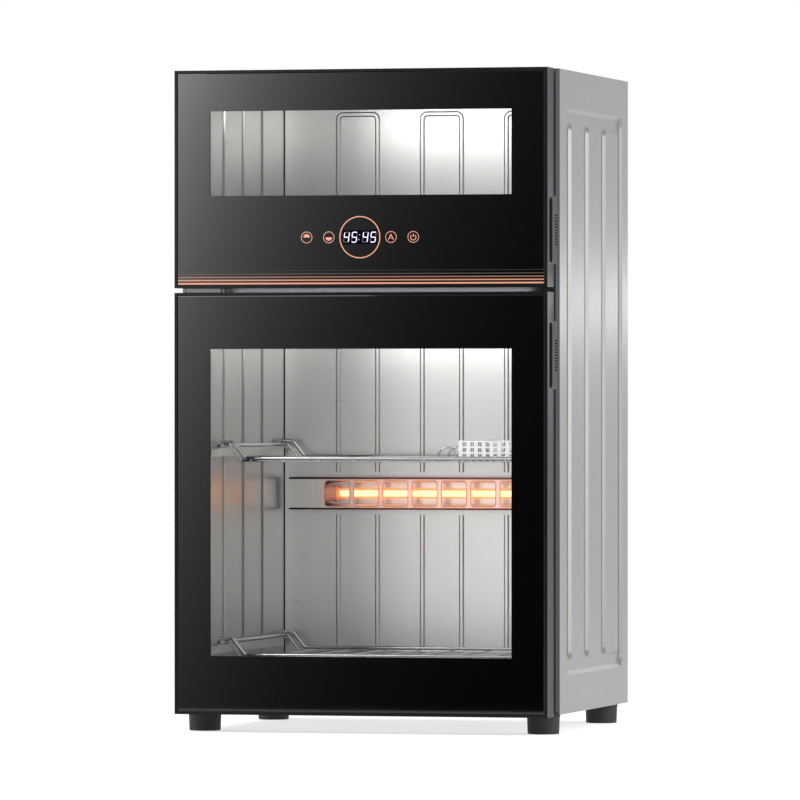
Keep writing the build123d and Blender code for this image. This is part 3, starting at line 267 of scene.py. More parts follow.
def finish(
    name, base, metallic, roughness, pitch, depth, stretch=(1, 1, 1), spread=0.05, shade=0.04, **sockets
):
    """A surface with a fine texture of a given pitch and depth, and slow changes of shade.

    stretch squeezes the texture along each axis, so a small number draws it out into lines."""
    material, tree = empty_tree(name)
    place = object_point(tree)
    drawn = add(tree, "ShaderNodeMapping", {"Scale": stretch}, {"Vector": place}).outputs["Vector"]
    texture = add(
        tree, "ShaderNodeTexNoise", {"Scale": 1 / pitch, "Detail": 2.0, "Roughness": 0.55}, {"Vector": drawn}
    ).outputs[0]
    cloud = add(tree, "ShaderNodeTexNoise", {"Scale": 1 / CLOUD, "Detail": 1.0}, {"Vector": place}).outputs[0]
    shine = add(
        tree, "ShaderNodeMapRange",
        {"To Min": max(0.02, roughness - spread), "To Max": roughness + spread}, {"Value": texture},
    ).outputs[0]
    tone = blend(tree, rgba(base, 1 - shade), rgba(base, 1 + shade), cloud)
    bump = add(tree, "ShaderNodeBump", {"Distance": depth, "Strength": 1.0}, {"Height": texture}).outputs[0]
    shader = add(
        tree, "ShaderNodeBsdfPrincipled", {"Metallic": metallic, **sockets},
        {"Base Color": tone, "Roughness": shine, "Normal": bump}, name="Surface",
    )
    surface_output(tree, shader)
    return material


CLOUD = 140 * MM  # size of the slow changes of shade
EDGE_SHINE = linear("#DEDEE0")  # what dark coats throw back at a flat angle


def coated_steel():
    # Polyester powder coat with aluminium flake, baked on pressed sheet steel: satin and silvery, with
    # a faint orange peel. The real peel is about 1 mm; it is drawn at 4 mm so that it shows.
    looks = settings("casing")
    return finish(
        "Powder_Coated_Steel", looks.casing_colour, 0.8, looks.casing_roughness, looks.peel_pitch, 0.012 * MM,
        spread=0.03,
    )


def bezel_steel():
    # The same kind of coat in a darker, less metallic shade, on the pressed front surround.
    looks = settings("casing")
    return finish(
        "Dark_Coated_Steel", looks.bezel_colour, 0.3, 0.4, looks.peel_pitch, 0.01 * MM,
        **{"Specular Tint": rgba(EDGE_SHINE, 0.6)},
    )


def galvanised_steel():
    # Hot-dip galvanised sheet: large zinc crystals, each of its own shade, and a dull shine.
    looks = settings("casing")
    material = finish("Galvanised_Steel", looks.zinc_colour, 0.9, 0.42, 9 * MM, 0.01 * MM)
    tree = material.node_tree
    place = object_point(tree)
    crystal = add(tree, "ShaderNodeTexVoronoi", {"Scale": 1 / (14 * MM)}, {"Vector": place}).outputs["Color"]
    grey = add(tree, "ShaderNodeSeparateColor", None, {0: crystal}).outputs[0]
    tone = blend(tree, rgba(looks.zinc_colour, 0.8), rgba(looks.zinc_colour, 1.15), grey)
    tree.links.new(tone, tree.nodes["Surface"].inputs["Base Color"])
    return material


def foot_rubber():
    # Moulded black rubber: dull, with a fine grain from the mould.
    looks = settings("casing")
    return finish("Moulded_Rubber", looks.rubber_colour, 0.0, 0.62, 1.5 * MM, 0.03 * MM, spread=0.1)


def chamber_steel():
    # Cold-rolled stainless sheet with a fine brushed finish along the width: bright, with soft
    # reflections. The brush lines are about 0.1 mm apart and are drawn at 2 mm so that they show.
    looks = settings("chamber")
    return finish(
        "Brushed_Stainless_Steel", looks.steel_colour, 0.85, looks.steel_roughness, looks.brush_pitch,
        0.004 * MM, stretch=(0.04, 0.04, 1), spread=0.05,
    )


def shaded_side_steel():
    # The same stainless sheet on the side walls, brushed upright, with its colour darkened to 62 per cent:
    # painted shade that keeps the side walls darker than the rear wall.
    looks = settings("chamber")
    return finish(
        "Shaded_Upright_Brushed_Stainless_Steel", tuple(0.62 * c for c in looks.steel_colour), 0.9,
        looks.steel_roughness, looks.brush_pitch, 0.004 * MM, stretch=(1, 1, 0.04),
    )


def perforated_steel():
    # Thin stainless sheet, perforated and electropolished: paler than the walls, so its holes stand out.
    return finish("Electropolished_Perforated_Steel", linear("#E4E4E4"), 0.5, 0.22, 2 * MM, 0.004 * MM)


def chrome_wire():
    # Bright chrome plate on steel wire: nearly a mirror, with hardly any drawing marks.
    looks = settings("chamber")
    return finish(
        "Chrome_Plated_Wire", looks.wire_colour, 1.0, 0.1, 3 * MM, 0.002 * MM, spread=0.03, shade=0.02
    )


def hinge_steel():
    # Nickel-plated steel plate and screws, barrel-polished: grey, with soft edges in the shine.
    return finish("Nickel_Plated_Steel", linear("#6F6D6A"), 1.0, 0.24, 2 * MM, 0.004 * MM)


def frame_aluminium():
    # Extruded aluminium, brushed along its length and anodised black: dark, with a long soft shine.
    looks = settings("door")
    return finish(
        "Black_Anodised_Aluminium", looks.frame_colour, 1.0, 0.3, 2 * MM, 0.003 * MM, stretch=(1, 1, 0.05),
        spread=0.06, **{"Specular Tint": rgba(EDGE_SHINE)},
    )


def printed_glass():
    # Toughened float glass whose back is coated with fired black enamel: a deep gloss black.
    looks = settings("door")
    return finish(
        "Black_Enamelled_Glass", looks.glass_colour, 0.0, 0.03, 60 * MM, 0.004 * MM, spread=0.01, shade=0.2,
        IOR=1.52,
    )


def clear_glass():
    # Toughened float glass left clear for the windows. Its index is set low, so that the window
    # shows the chamber as plainly as a coated, low-reflection pane does.
    return finish(
        "Clear_Float_Glass", linear("#FCFDFD"), 0.0, 0.02, 80 * MM, 0.0, spread=0.0, shade=0.01,
        IOR=1.12, **{"Transmission Weight": 1.0},
    )


def copper_print():
    # Rose-gold ink screen-printed on the glass: metal flake in varnish, warm and softly bright. The
    # glow stands for the light that the flake throws back at every angle.
    looks = settings("door")
    return finish(
        "Rose_Gold_Ink", looks.copper_colour, 0.3, 0.4, 0.8 * MM, 0.004 * MM, shade=0.06,
        **{"Emission Color": rgba(looks.copper_colour), "Emission Strength": 0.28},
    )


def fading_print():
    # The same ink in five lines that fade upwards from peach to near black.
    looks = settings("door")
    material = finish("Fading_Rose_Gold_Ink", looks.copper_colour, 0.2, 0.4, 0.8 * MM, 0.004 * MM)
    tree = material.node_tree
    height = add(tree, "ShaderNodeSeparateXYZ", None, {0: object_point(tree)}).outputs["Z"]
    low, high = STRIPES[0][0], STRIPES[-1][0]
    rise = add(tree, "ShaderNodeMapRange", {"From Min": low, "From Max": high}, {"Value": height}).outputs[0]
    ramp = add(tree, "ShaderNodeValToRGB", None, {0: rise})
    ramp.color_ramp.elements[0].color = rgba(linear("#E29A7E"))
    ramp.color_ramp.elements[1].color = rgba(linear("#2E2B2D"))
    for step, code in ((0.25, "#CC8E76"), (0.5, "#98705F"), (0.75, "#544946")):
        ramp.color_ramp.elements.new(step).color = rgba(linear(code))
    surface = tree.nodes["Surface"]
    tree.links.new(ramp.outputs[0], surface.inputs["Base Color"])
    tree.links.new(ramp.outputs[0], surface.inputs["Emission Color"])
    # A faint painted glow, like that of the copper print, stands for the light that the flake throws back.
    surface.inputs["Emission Strength"].default_value = 0.08
    return material


def door_inner():
    # Injection-moulded ABS with a spark-eroded grain: even, satin and dark. Grain drawn at 1.5 mm.
    looks = settings("door")
    return finish("Grained_ABS", looks.inner_colour, 0.0, 0.45, 1.5 * MM, 0.03 * MM)


def handle_plastic():
    # Black ABS, moulded with a fine matt grain, in the finger grips.
    return finish("Black_Moulded_ABS", linear("#2C2C2F"), 0.0, 0.4, 1.2 * MM, 0.02 * MM)


def slot_lining():
    # Nearly black and dull, throwing back hardly any light: painted shadow in the slots of the grips.
    dull = {"Specular IOR Level": 0.1}
    return finish("Black_Painted_Slot_Shadow", linear("#050505"), 0.0, 0.9, 0.8 * MM, 0.05 * MM, **dull)


def seal_rubber():
    # Extruded silicone seal: soft, dull and slightly translucent grey.
    return finish(
        "Silicone_Rubber", linear("#5A5B5E"), 0.0, 0.55, 3 * MM, 0.02 * MM, **{"Subsurface Weight": 0.05}
    )


def bush_plastic():
    # Acetal bushes, machined: ivory white with a waxy shine.
    return finish("Machined_Acetal", linear("#E4E1D8"), 0.0, 0.35, 1 * MM, 0.005 * MM)


def ceramic():
    # Pressed and fired steatite, slightly rough, like unglazed porcelain. Its salmon colour is its own pink
    # tint with painted light from the hot tube added, and its glow is painted light from the tube too.
    # A glow painted on for the light of the hot tube falling on the caps.
    heat = glowing("#E07A5C", 0.16)
    return finish("Fired_Steatite", linear("#DD9C86"), 0.0, 0.5, 1 * MM, 0.02 * MM, shade=0.06, **heat)


def electric_plastic():
    # Glass-filled nylon housings: dark grey and matt, with the mottle of the fibres.
    return finish("Glass_Filled_Nylon", linear("#3A3B3D"), 0.0, 0.5, 2 * MM, 0.02 * MM, shade=0.1)


def circuit_board():
    # Epoxy glass laminate under green solder mask, with rows of copper tracks showing through.
    material = finish("Solder_Masked_Board", linear("#1F5B36"), 0.0, 0.35, 1 * MM, 0.005 * MM)
    tree = material.node_tree
    place = object_point(tree)
    tracks = add(
        tree, "ShaderNodeTexBrick",
        {"Color1": rgba(linear("#2C7A49")), "Color2": rgba(linear("#1F5B36")),
         "Mortar": rgba(linear("#173F27")), "Scale": 1 / (20 * MM), "Mortar Size": 0.03},
        {"Vector": place},
    ).outputs[0]
    tree.links.new(tracks, tree.nodes["Surface"].inputs["Base Color"])
    return material


def display_glass():
    # The dark window of the time display: smoked film behind the glass, navy where light leaks in.
    leak = glowing("#120D38", 0.5)
    return finish("Smoked_Display_Film", linear("#120D38"), 0.0, 0.15, 5 * MM, 0.0, shade=0.1, **leak)


def guard_painted_shadow_glow():
    # The same brushed sheet with painted light: thin painted shadow lines along the guard's folded edges,
    # almost black at the ends and red-brown where the tube lights them most, and a painted pink glow of the
    # tube on the face between them.
    looks = settings("chamber")
    material = finish(
        "Stainless_Steel_Painted_Edge_Shadow_And_Glow", looks.steel_colour, 0.85, looks.steel_roughness, looks.brush_pitch,
        0.004 * MM, stretch=(0.04, 0.04, 1),
    )
    tree = material.node_tree
    corner0, corner1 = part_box("heater_guard")
    line, reach = 2.2 * MM, 60 * MM  # width of a painted shadow line along an edge, and half of the stretch that the tube lights most
    axes = add(tree, "ShaderNodeSeparateXYZ", None, {0: object_point(tree)})
    off = arithmetic(tree, "SUBTRACT", {0: axes.outputs["Z"]}, {1: (corner0.z + corner1.z) / 2})
    away = arithmetic(tree, "ABSOLUTE", {0: off})
    # Mask of the thin painted shadow lines along the guard's top and bottom edges.
    edge = arithmetic(tree, "GREATER_THAN", {0: away}, {1: (corner1.z - corner0.z) / 2 - line})
    away = arithmetic(tree, "ABSOLUTE", {0: axes.outputs["X"]})
    ends = {"From Min": reach, "From Max": corner1.x}
    # From 0 in the middle, where the tube's painted light is strongest, to 1 at the guard's ends.
    heat = add(tree, "ShaderNodeMapRange", ends, {"Value": away}).outputs[0]
    # Painted shadow lines, red-brown where the tube's light falls on them and near black at the ends, and a
    # painted pink glow of the tube on the face between them.
    shadow_line_tone = blend(tree, rgba(linear("#7A3E30")), rgba(linear("#0A0909")), heat)
    warm = blend(tree, rgba(linear("#EACBC0")), rgba(looks.steel_colour), heat)
    tone = add(tree, "ShaderNodeMix", None, {0: edge, 6: warm, 7: shadow_line_tone}, data_type="RGBA").outputs[2]
    tree.links.new(tone, tree.nodes["Surface"].inputs["Base Color"])
    return material


def glow(name, base, power, pitch):
    """A glowing surface whose light varies a little along it."""
    material, tree = empty_tree(name)
    place = object_point(tree)
    texture = add(tree, "ShaderNodeTexNoise", {"Scale": 1 / pitch}, {"Vector": place}).outputs[0]
    tone = blend(tree, rgba(base, 0.9), rgba(base, 1.05), texture)
    shader = add(
        tree, "ShaderNodeBsdfPrincipled", {"Roughness": 0.4, "Emission Strength": power},
        {"Base Color": tone, "Emission Color": tone}, name="Surface",
    )
    surface_output(tree, shader)
    return material


def lit_segments():
    # Light-emitting segments of the time display that are on: a cool blue-white.
    looks = settings("display")
    return glow("Lit_Display_Segments", looks.lit_colour, looks.glow, 2 * MM)


def unlit_segments():
    # Segments that are off: yellowish diffuser plastic that hardly shows.
    looks = settings("display")
    return finish("Unlit_Display_Segments", looks.unlit_colour, 0.0, 0.4, 1 * MM, 0.0)


def heated_rim():
    # The turned edge of a guard window, painted orange-brown and glowing: painted light of the hot tube
    # beside it.
    heat = glowing("#E87430", 0.15)
    return finish("Rim_Painted_Tube_Glow", linear("#D9733A"), 0.4, 0.45, 2 * MM, 0.004 * MM, **heat)


def joint_sealant():
    # A dull, nearly black bead: painted shadow in the gaps at the chambers' rear corners.
    return finish("Black_Painted_Corner_Shadow", linear("#131313"), 0.0, 0.55, 3 * MM, 0.05 * MM)


def hot_coil():
    # Resistance wire of iron, chromium and aluminium at full heat: glows pale yellow.
    looks = settings("heater")
    return glow("Hot_Resistance_Wire", looks.coil_colour, looks.coil_glow, 20 * MM)


def quartz_tube():
    # Fused quartz, slightly milky: the coil's light spreads in its wall, which glows orange.
    looks = settings("heater")
    material = glow("Milky_Fused_Quartz", looks.tube_colour, looks.tube_glow, 15 * MM)
    material.node_tree.nodes["Surface"].inputs["Alpha"].default_value = 0.2
    return material


MAKERS = {
    maker.__name__: maker
    for maker in (
        coated_steel, bezel_steel, galvanised_steel, foot_rubber, chamber_steel, chrome_wire, hinge_steel,
        shaded_side_steel, perforated_steel, frame_aluminium, printed_glass, clear_glass, copper_print, fading_print,
        door_inner, handle_plastic, slot_lining, seal_rubber, bush_plastic, ceramic, electric_plastic,
        circuit_board, display_glass, lit_segments, unlit_segments, guard_painted_shadow_glow, heated_rim, joint_sealant,
        hot_coil, quartz_tube,
    )
}
made = {}


def material(name):
    """The material of that name, made when it is first asked for."""
    if name not in made:
        made[name] = MAKERS[name]()
    return made[name]


# ---- pieces ----
def coat(name, *nodes):
    """Give construction nodes a material of this file."""
    for node in nodes:
        for place in frame["nodes"][node].material_slots:
            place.material = material(name)


def mesh_of(name, bm):
    """A mesh made of what was drawn."""
    mesh = bpy.data.meshes.new(name)
    bm.to_mesh(mesh)
    bm.free()
    return mesh


def placed(name, data):
    """A new object in the scene."""
    made_object = bpy.data.objects.new(name, data)
    bpy.context.scene.collection.objects.link(made_object)
    return made_object


def new_piece(name, bm, materials, body, replaces=(), sharp=20):
    """Make an object of a finished mesh; it rides on a body and may stand for nodes."""
    mesh = mesh_of(name, bm)
    mesh.shade_smooth()
    mesh.set_sharp_from_angle(angle=math.radians(sharp))
    for each in materials:
        mesh.materials.append(material(each))
    piece = placed(name, mesh)
    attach(piece, body)
    if replaces:
        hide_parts(*replaces)
    return piece


def bevel(bm, edges, width, segments=2, clamp=False):
    """Round off edges."""
    bmesh.ops.bevel(
        bm, geom=edges, offset=width, offset_type="OFFSET", segments=segments, profile=0.5, affect="EDGES",
        material=-1, clamp_overlap=clamp,
    )


def softened(node, width, name):
    """A copy of a node with its sharp edges broken, which stands for the node."""
    source = frame["nodes"][node]
    bm = bmesh.new()
    bm.from_mesh(source.data)
    bmesh.ops.remove_doubles(bm, verts=bm.verts, dist=0.001 * MM)
    bmesh.ops.dissolve_limit(bm, angle_limit=math.radians(0.5), verts=bm.verts, edges=bm.edges)
    edges = [e for e in bm.edges if len(e.link_faces) == 2 and e.calc_face_angle() > math.radians(30)]
    bevel(bm, edges, width, clamp=True)
    return new_piece(node + "_finished", bm, [name], source["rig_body"], [node])


def draw_out(bm, faces, way):
    """Give flat faces a thickness along a vector."""
    moved = bmesh.ops.extrude_face_region(bm, geom=faces)["geom"]
    bmesh.ops.translate(bm, vec=way, verts=[v for v in moved if isinstance(v, bmesh.types.BMVert)])


def add_bar(bm, start, end, width, front, back):
    """A flat bar with pointed ends between two points given as X and Z."""
    start, end = Vector((start[0], front, start[1])), Vector((end[0], front, end[1]))
    along = (end - start).normalized()
    across = Vector((-along.z, 0, along.x)) * width / 2
    tip = along * width / 2
    outline = (start, start + tip + across, end - tip + across, end, end - tip - across, start + tip - across)
    draw_out(bm, [bm.faces.new([bm.verts.new(point) for point in outline])], (0, back - front, 0))


def add_ring(bm, x, z, radius, line, front, back, gap=0.0):
    """A flat ring about a point; a gap in degrees is left at its top."""
    inner, outer = radius - line / 2, radius + line / 2
    turn = Matrix.Rotation(math.radians(gap / 2), 3, "Y")
    section = ((inner, front), (outer, front), (outer, back), (inner, back))
    corners = [turn @ Vector((0, y, r)) for r, y in section]
    verts = [bm.verts.new(corner + Vector((x, 0, z))) for corner in corners]
    face = bm.faces.new(verts)
    geometry = list(face.edges) + verts + ([face] if gap else [])
    if not gap:
        bm.faces.remove(face)
    bmesh.ops.spin(
        bm, geom=geometry, cent=(x, 0, z), axis=(0, 1, 0), angle=math.radians(360 - gap), steps=64,
        use_merge=not gap,
    )


def add_rod(bm, sides, radius, depth, place):
    """A closed rod; its verts are returned."""
    return bmesh.ops.create_cone(
        bm, cap_ends=True, segments=sides, radius1=radius, radius2=radius, depth=depth, matrix=place
    )["verts"]


def with_links(verts):
    """Verts with all the edges and faces that use them."""
    edges = {e for v in verts for e in v.link_edges}
    return verts + list(edges) + list({f for v in verts for f in v.link_faces})


def add_disc(bm, x, z, radius, front, back, keep=0):
    """A flat disc about a point, or with keep its upper (1) or lower (-1) half."""
    place = Matrix.Translation((x, (front + back) / 2, z)) @ UPRIGHT
    disc = add_rod(bm, 32, radius, back - front, place)
    if not keep:
        return
    cut = bmesh.ops.bisect_plane(
        bm, geom=with_links(disc), plane_co=(x, 0, z), plane_no=(0, 0, -keep), clear_outer=True
    )["geom_cut"]
    bmesh.ops.holes_fill(bm, edges=[e for e in cut if isinstance(e, bmesh.types.BMEdge)])


def outward(bm):
    """Turn every face outwards."""
    bmesh.ops.recalc_face_normals(bm, faces=bm.faces)
    return bm


def glass_pane(door, low, high):
    """A door's pane with ground edges: enamelled round its window and clear in it."""
    looks = settings("door")
    node = door + "_door_glass"
    corner0, corner1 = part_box(node)
    size = corner1 - corner0
    bm = bmesh.new()
    place = Matrix.Translation((corner0 + corner1) / 2)
    bmesh.ops.create_cube(bm, size=1, matrix=place @ Matrix.Diagonal((*size, 1)))
    bevel(bm, bm.edges[:], looks.glass_arris)
    half = looks.window_width / 2
    sideways, up = (1, 0, 0), (0, 0, 1)
    for point, normal in (
        ((-half, 0, 0), sideways), ((half, 0, 0), sideways), ((0, 0, low), up), ((0, 0, high), up),
    ):
        geometry = bm.verts[:] + bm.edges[:] + bm.faces[:]
        bmesh.ops.bisect_plane(bm, geom=geometry, dist=0.001 * MM, plane_co=point, plane_no=normal)
    for face in bm.faces:
        middle = face.calc_center_median()
        in_window = abs(middle.x) < half and low < middle.z < high
        face.material_index = int(in_window and abs(face.normal.y) > 0.9)
    finishes = ["printed_glass", "clear_glass"]
    pane = new_piece(door + "_door_pane", outward(bm), finishes, door + "_door", [node])
    pane.visible_shadow = False


def grip_slot_shadows(door):
    """Black painted shadow in the slots across a door's grip, a little below the grip's surface."""
    looks = settings("door")
    corner0, corner1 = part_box(door + "_door_handle")
    # The painted shadow stays a hair below the grip's surface and off the walls of its slots.
    rear, top = corner1.y - 0.1 * MM, corner1.x - 0.12 * MM
    floor_x = corner1.x - looks.slot_depth + 0.01 * MM
    front = corner1.y - looks.grip_width * (top - floor_x) / looks.grip_rise
    middle = (corner0.z + corner1.z) / 2
    bm = bmesh.new()
    for number in range(looks.grip_slots):
        low = middle + (number - (looks.grip_slots - 1) / 2) * looks.slot_pitch - looks.slot_height / 2
        section = [(floor_x, front, low), (top, rear, low), (floor_x, rear, low)]
        face = bm.faces.new([bm.verts.new(point) for point in section])
        draw_out(bm, [face], (0, 0, looks.slot_height))
    new_piece(door + "_door_grip_recesses", outward(bm), ["slot_lining"], door + "_door")


# ---- the print on the upper door: height and line width of each fading line ----
STRIPES = [(z * MM, width * MM) for z, width in (
    (492.1, 1.8), (495.7, 1.45), (499.1, 1.1), (502.6, 0.75), (506.3, 0.5),
)]
# Which bars of a digit are lit: top, upper left, upper right, middle, lower left, lower right, bottom.
LIT = {
    "0": "1110111", "1": "0010010", "2": "1011101", "3": "1011011", "4": "0111010", "5": "1101011",
    "6": "1101111", "7": "1010010", "8": "1111111", "9": "1111011",
}


def ink_depths():
    """Front and back of the print on the upper door's glass."""
    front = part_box("upper_door_glass")[0].y
    return front - settings("door").ink_thickness, front + 0.02 * MM


def stripe_print():
    """The five fading lines along the foot of the upper glass."""
    front, back = ink_depths()
    corner0, corner1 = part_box("upper_door_glass")
    inset = 0.3 * MM
    bm = bmesh.new()
    for z, width in STRIPES:
        add_bar(bm, (corner0.x + inset, z), (corner1.x - inset, z), width, front, back)
    new_piece("upper_door_lines", outward(bm), ["fading_print"], "upper_door")


def key_print():
    """The ring round the time and the four touch keys with their signs."""
    looks = settings("display")
    front, back = ink_depths()
    z = looks.middle
    bm = bmesh.new()
    add_ring(bm, 0, z, looks.ring_radius, looks.ring_line, front, back)
    radius, line = looks.key_radius, looks.key_line
    for x in (-looks.outer_key, -looks.inner_key, looks.inner_key, looks.outer_key):
        add_ring(bm, x, z, radius, line, front, back)
    # The signs are drawn in shares of their own half size.
    sign = radius * 0.62
    add_disc(bm, -looks.outer_key, z, sign, front, back, keep=1)
    add_disc(bm, -looks.inner_key, z, sign, front, back, keep=-1)
    x = looks.inner_key
    foot, top = z - sign * 0.8, z + sign * 0.9
    stroke = 1.3 * line
    add_bar(bm, (x - sign * 0.75, foot), (x, top), stroke, front, back)
    add_bar(bm, (x + sign * 0.75, foot), (x, top), stroke, front, back)
    add_bar(bm, (x - sign * 0.5, z - sign * 0.25), (x + sign * 0.5, z - sign * 0.25), line, front, back)
    x = looks.outer_key
    add_ring(bm, x, z - 0.1 * sign, sign * 0.8, stroke, front, back, gap=80)
    add_bar(bm, (x, z), (x, z + sign), stroke, front, back)
    new_piece("upper_door_keys", outward(bm), ["copper_print"], "upper_door")


def digit_bars(left, low):
    """The seven bars of a digit whose lower left corner is given, as pairs of points."""
    looks = settings("display")
    width, half, gap = looks.digit_width, looks.digit_height / 2, 0.12 * looks.segment

    def at(x, z):
        return (left + x + looks.slant * (z - half), low + z)

    points = {(i, j): (i * width, j * half) for i in (0, 1) for j in (0, 1, 2)}
    bars = []
    for a, b in (
        ((0, 2), (1, 2)), ((0, 1), (0, 2)), ((1, 1), (1, 2)), ((0, 1), (1, 1)),
        ((0, 0), (0, 1)), ((1, 0), (1, 1)), ((0, 0), (1, 0)),
    ):
        start, end = points[a], points[b]
        if start[1] == end[1]:
            bars.append((at(start[0] + gap, start[1]), at(end[0] - gap, end[1])))
        else:
            bars.append((at(start[0], start[1] + gap), at(end[0], end[1] - gap)))
    return bars


def time_display():
    """The display's dark window and its lit and unlit segments."""
    looks = settings("display")
    front, back = ink_depths()
    window = bmesh.new()
    thickness = 0.04 * MM
    shape = Matrix.Diagonal((39 * MM, thickness, 15.2 * MM, 1))
    place = Matrix.Translation((0, back, looks.middle))
    bmesh.ops.create_cube(window, size=1, matrix=place @ shape)
    upright = [e for e in window.edges if abs(e.verts[0].co.y - e.verts[1].co.y) > thickness / 4]
    bevel(window, upright, 1 * MM, segments=4)
    new_piece("upper_door_time_window", outward(window), ["display_glass"], "upper_door")
    lit, unlit = bmesh.new(), bmesh.new()
    colon, dot_step, dot_radius = 3.6 * MM, 2.6 * MM, 0.42 * looks.segment
    pitch = looks.digit_width + 3.5 * MM
    spaces = [colon if sign == ":" else pitch for sign in looks.time]
    x = -sum(spaces) / 2 + (pitch - looks.digit_width) / 2
    low = looks.middle - looks.digit_height / 2
    for sign, space in zip(looks.time, spaces):
        if sign == ":":
            for step in (-dot_step, dot_step):
                dot = x - 0.6 * MM + looks.slant * step
                add_disc(lit, dot, looks.middle + step, dot_radius, front, back)
        else:
            for state, bar in zip(LIT[sign], digit_bars(x, low)):
                add_bar(lit if state == "1" else unlit, *bar, looks.segment, front, back)
        x += space
    new_piece("upper_door_time_lit", outward(lit), ["lit_segments"], "upper_door")
    if unlit.verts:
        new_piece("upper_door_time_unlit", outward(unlit), ["unlit_segments"], "upper_door")


def heater_tube():
    """The hot coil and the quartz tube round it."""
    looks = settings("heater")
    corner0, corner1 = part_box("heater_tube")
    middle = (corner0 + corner1) / 2
    radius = (corner1.z - corner0.z) / 2
    start, end = corner0.x, corner1.x
    tube = bmesh.new()
    inner = radius - looks.tube_wall
    section = [(start, inner), (end, inner), (end, radius), (start, radius)]
    verts = [tube.verts.new((x, middle.y, middle.z + r)) for x, r in section]
    edges = [tube.edges.new((verts[i], verts[(i + 1) % 4])) for i in range(4)]
    turn = {"cent": middle, "axis": (1, 0, 0)}
    bmesh.ops.spin(tube, geom=verts + edges, angle=math.tau, steps=40, use_merge=True, **turn)
    name = "heater_quartz_tube"
    new_piece(name, outward(tube), ["quartz_tube"], "cabinet", ["heater_tube"])
    coil = bmesh.new()
    steps = 12
    turns = int((end - start) / looks.coil_pitch) - 2
    first = middle.x - turns * looks.coil_pitch / 2
    place = Matrix.Translation((first, middle.y, middle.z + looks.coil_radius)) @ UPRIGHT
    wire = bmesh.ops.create_circle(
        coil, cap_ends=True, segments=6, radius=looks.coil_wire, matrix=place
    )["verts"]
    bmesh.ops.spin(
        coil, geom=with_links(wire), angle=math.tau * turns, steps=steps * turns,
        dvec=(looks.coil_pitch / steps, 0, 0), use_merge=False, **turn,
    )
    new_piece("heater_coil", outward(coil), ["hot_coil"], "cabinet", sharp=70)


def rounded_square(x, y, z, half, radius):
    """Points round an upright square with rounded corners."""
    steps = 6
    points = []
    for quarter, (across, up) in enumerate(((1, 1), (-1, 1), (-1, -1), (1, -1))):
        for step in range(steps + 1):
            angle = math.radians(90 * (quarter + step / steps))
            points.append(Vector((
                x + across * (half - radius) + radius * math.cos(angle), y,
                z + up * (half - radius) + radius * math.sin(angle),
            )))
    return points


def window_rims():
    """The narrow turned edge round each window of the heater guard."""
    looks = settings("heater")
    corner0, corner1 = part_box("heater_guard")
    z = (corner0.z + corner1.z) / 2
    back = corner0.y + 0.2 * MM
    half, radius, rim = looks.guard_window / 2, looks.guard_window_radius, looks.rim_width
    bm = bmesh.new()
    for number in range(looks.guard_windows):
        x = (number - (looks.guard_windows - 1) / 2) * looks.guard_pitch
        inner = [bm.verts.new(point) for point in rounded_square(x, back, z, half, radius)]
        outer = [bm.verts.new(point) for point in rounded_square(x, back, z, half + rim, radius + rim)]
        for i in range(len(inner)):
            after = (i + 1) % len(inner)
            bm.faces.new((inner[i], outer[i], outer[after], inner[after]))
    draw_out(bm, bm.faces[:], (0, -looks.rim_height, 0))
    new_piece("heater_window_rims", outward(bm), ["heated_rim"], "cabinet")


def corner_shadow_beads():
    """A nearly black bead down each rear corner of both chambers: painted shadow for the gap between the
    walls.
    """
    bm = bmesh.new()
    radius, inset = 1.1 * MM, 0.8 * MM
    for chamber in ("upper", "lower"):
        left0, left1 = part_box(chamber + "_wall_left")
        right0, right1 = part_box(chamber + "_wall_right")
        height = left1.z - left0.z
        for x in (left0.x + inset, right1.x - inset):
            place = Matrix.Translation((x, left1.y, (left0.z + left1.z) / 2))
            add_rod(bm, 12, radius, height, place)
    new_piece("chamber_corner_sealant", outward(bm), ["joint_sealant"], "cabinet")


# ---- studio ----
FLOOR_LIFT = 0.6  # glow that makes the seen floor as white as the background
CARD_X, CARD_Y = -155 * MM, -800 * MM  # the reflection card's middle
CARD_HALF_WIDTH, CARD_HALF_HEIGHT = 250 * MM, 377 * MM
# The card's brightness is exp(FADE_START + FADE_ACROSS x + FADE_UP z), with x and z in metres.
FADE_START, FADE_ACROSS, FADE_UP = -4.09, -8.55, 3.37


def camera():
    """The camera of the photograph."""
    looks = settings("studio")
    data = bpy.data.cameras.new("camera")
    data.lens = looks.lens
    data.sensor_width = 36
    data.clip_end = 100
    eye = placed("camera", data)
    eye.location = (looks.camera_x, looks.camera_y, looks.camera_z)
    eye.rotation_euler = (math.radians(90), 0, looks.turn)
    bpy.context.scene.camera = eye


def seen(tree):
    """One where a ray comes from the camera, a mirror or glass."""
    path = add(tree, "ShaderNodeLightPath")
    total = path.outputs["Is Camera Ray"]
    for name in ("Is Glossy Ray", "Is Transmission Ray"):
        total = arithmetic(tree, "MAXIMUM", {0: total, 1: path.outputs[name]})
    return total


def background():
    """Even light from all round, and plain white where the background is seen."""
    world = bpy.data.worlds.new("studio")
    bpy.context.scene.world = world
    world.use_nodes = True
    tree = world.node_tree
    tree.nodes.clear()
    sky = settings("studio").sky
    ends = {"To Min": sky, "To Max": 1.0}
    power = add(tree, "ShaderNodeMapRange", ends, {"Value": seen(tree)}).outputs[0]
    light = add(tree, "ShaderNodeBackground", {"Color": (1, 1, 1, 1)}, {"Strength": power})
    add(tree, "ShaderNodeOutputWorld", None, {"Surface": light.outputs[0]})


def stage_piece(name, bm, material):
    """Make an object for the studio."""
    mesh = mesh_of(name, bm)
    mesh.materials.append(material)
    return placed(name, mesh)


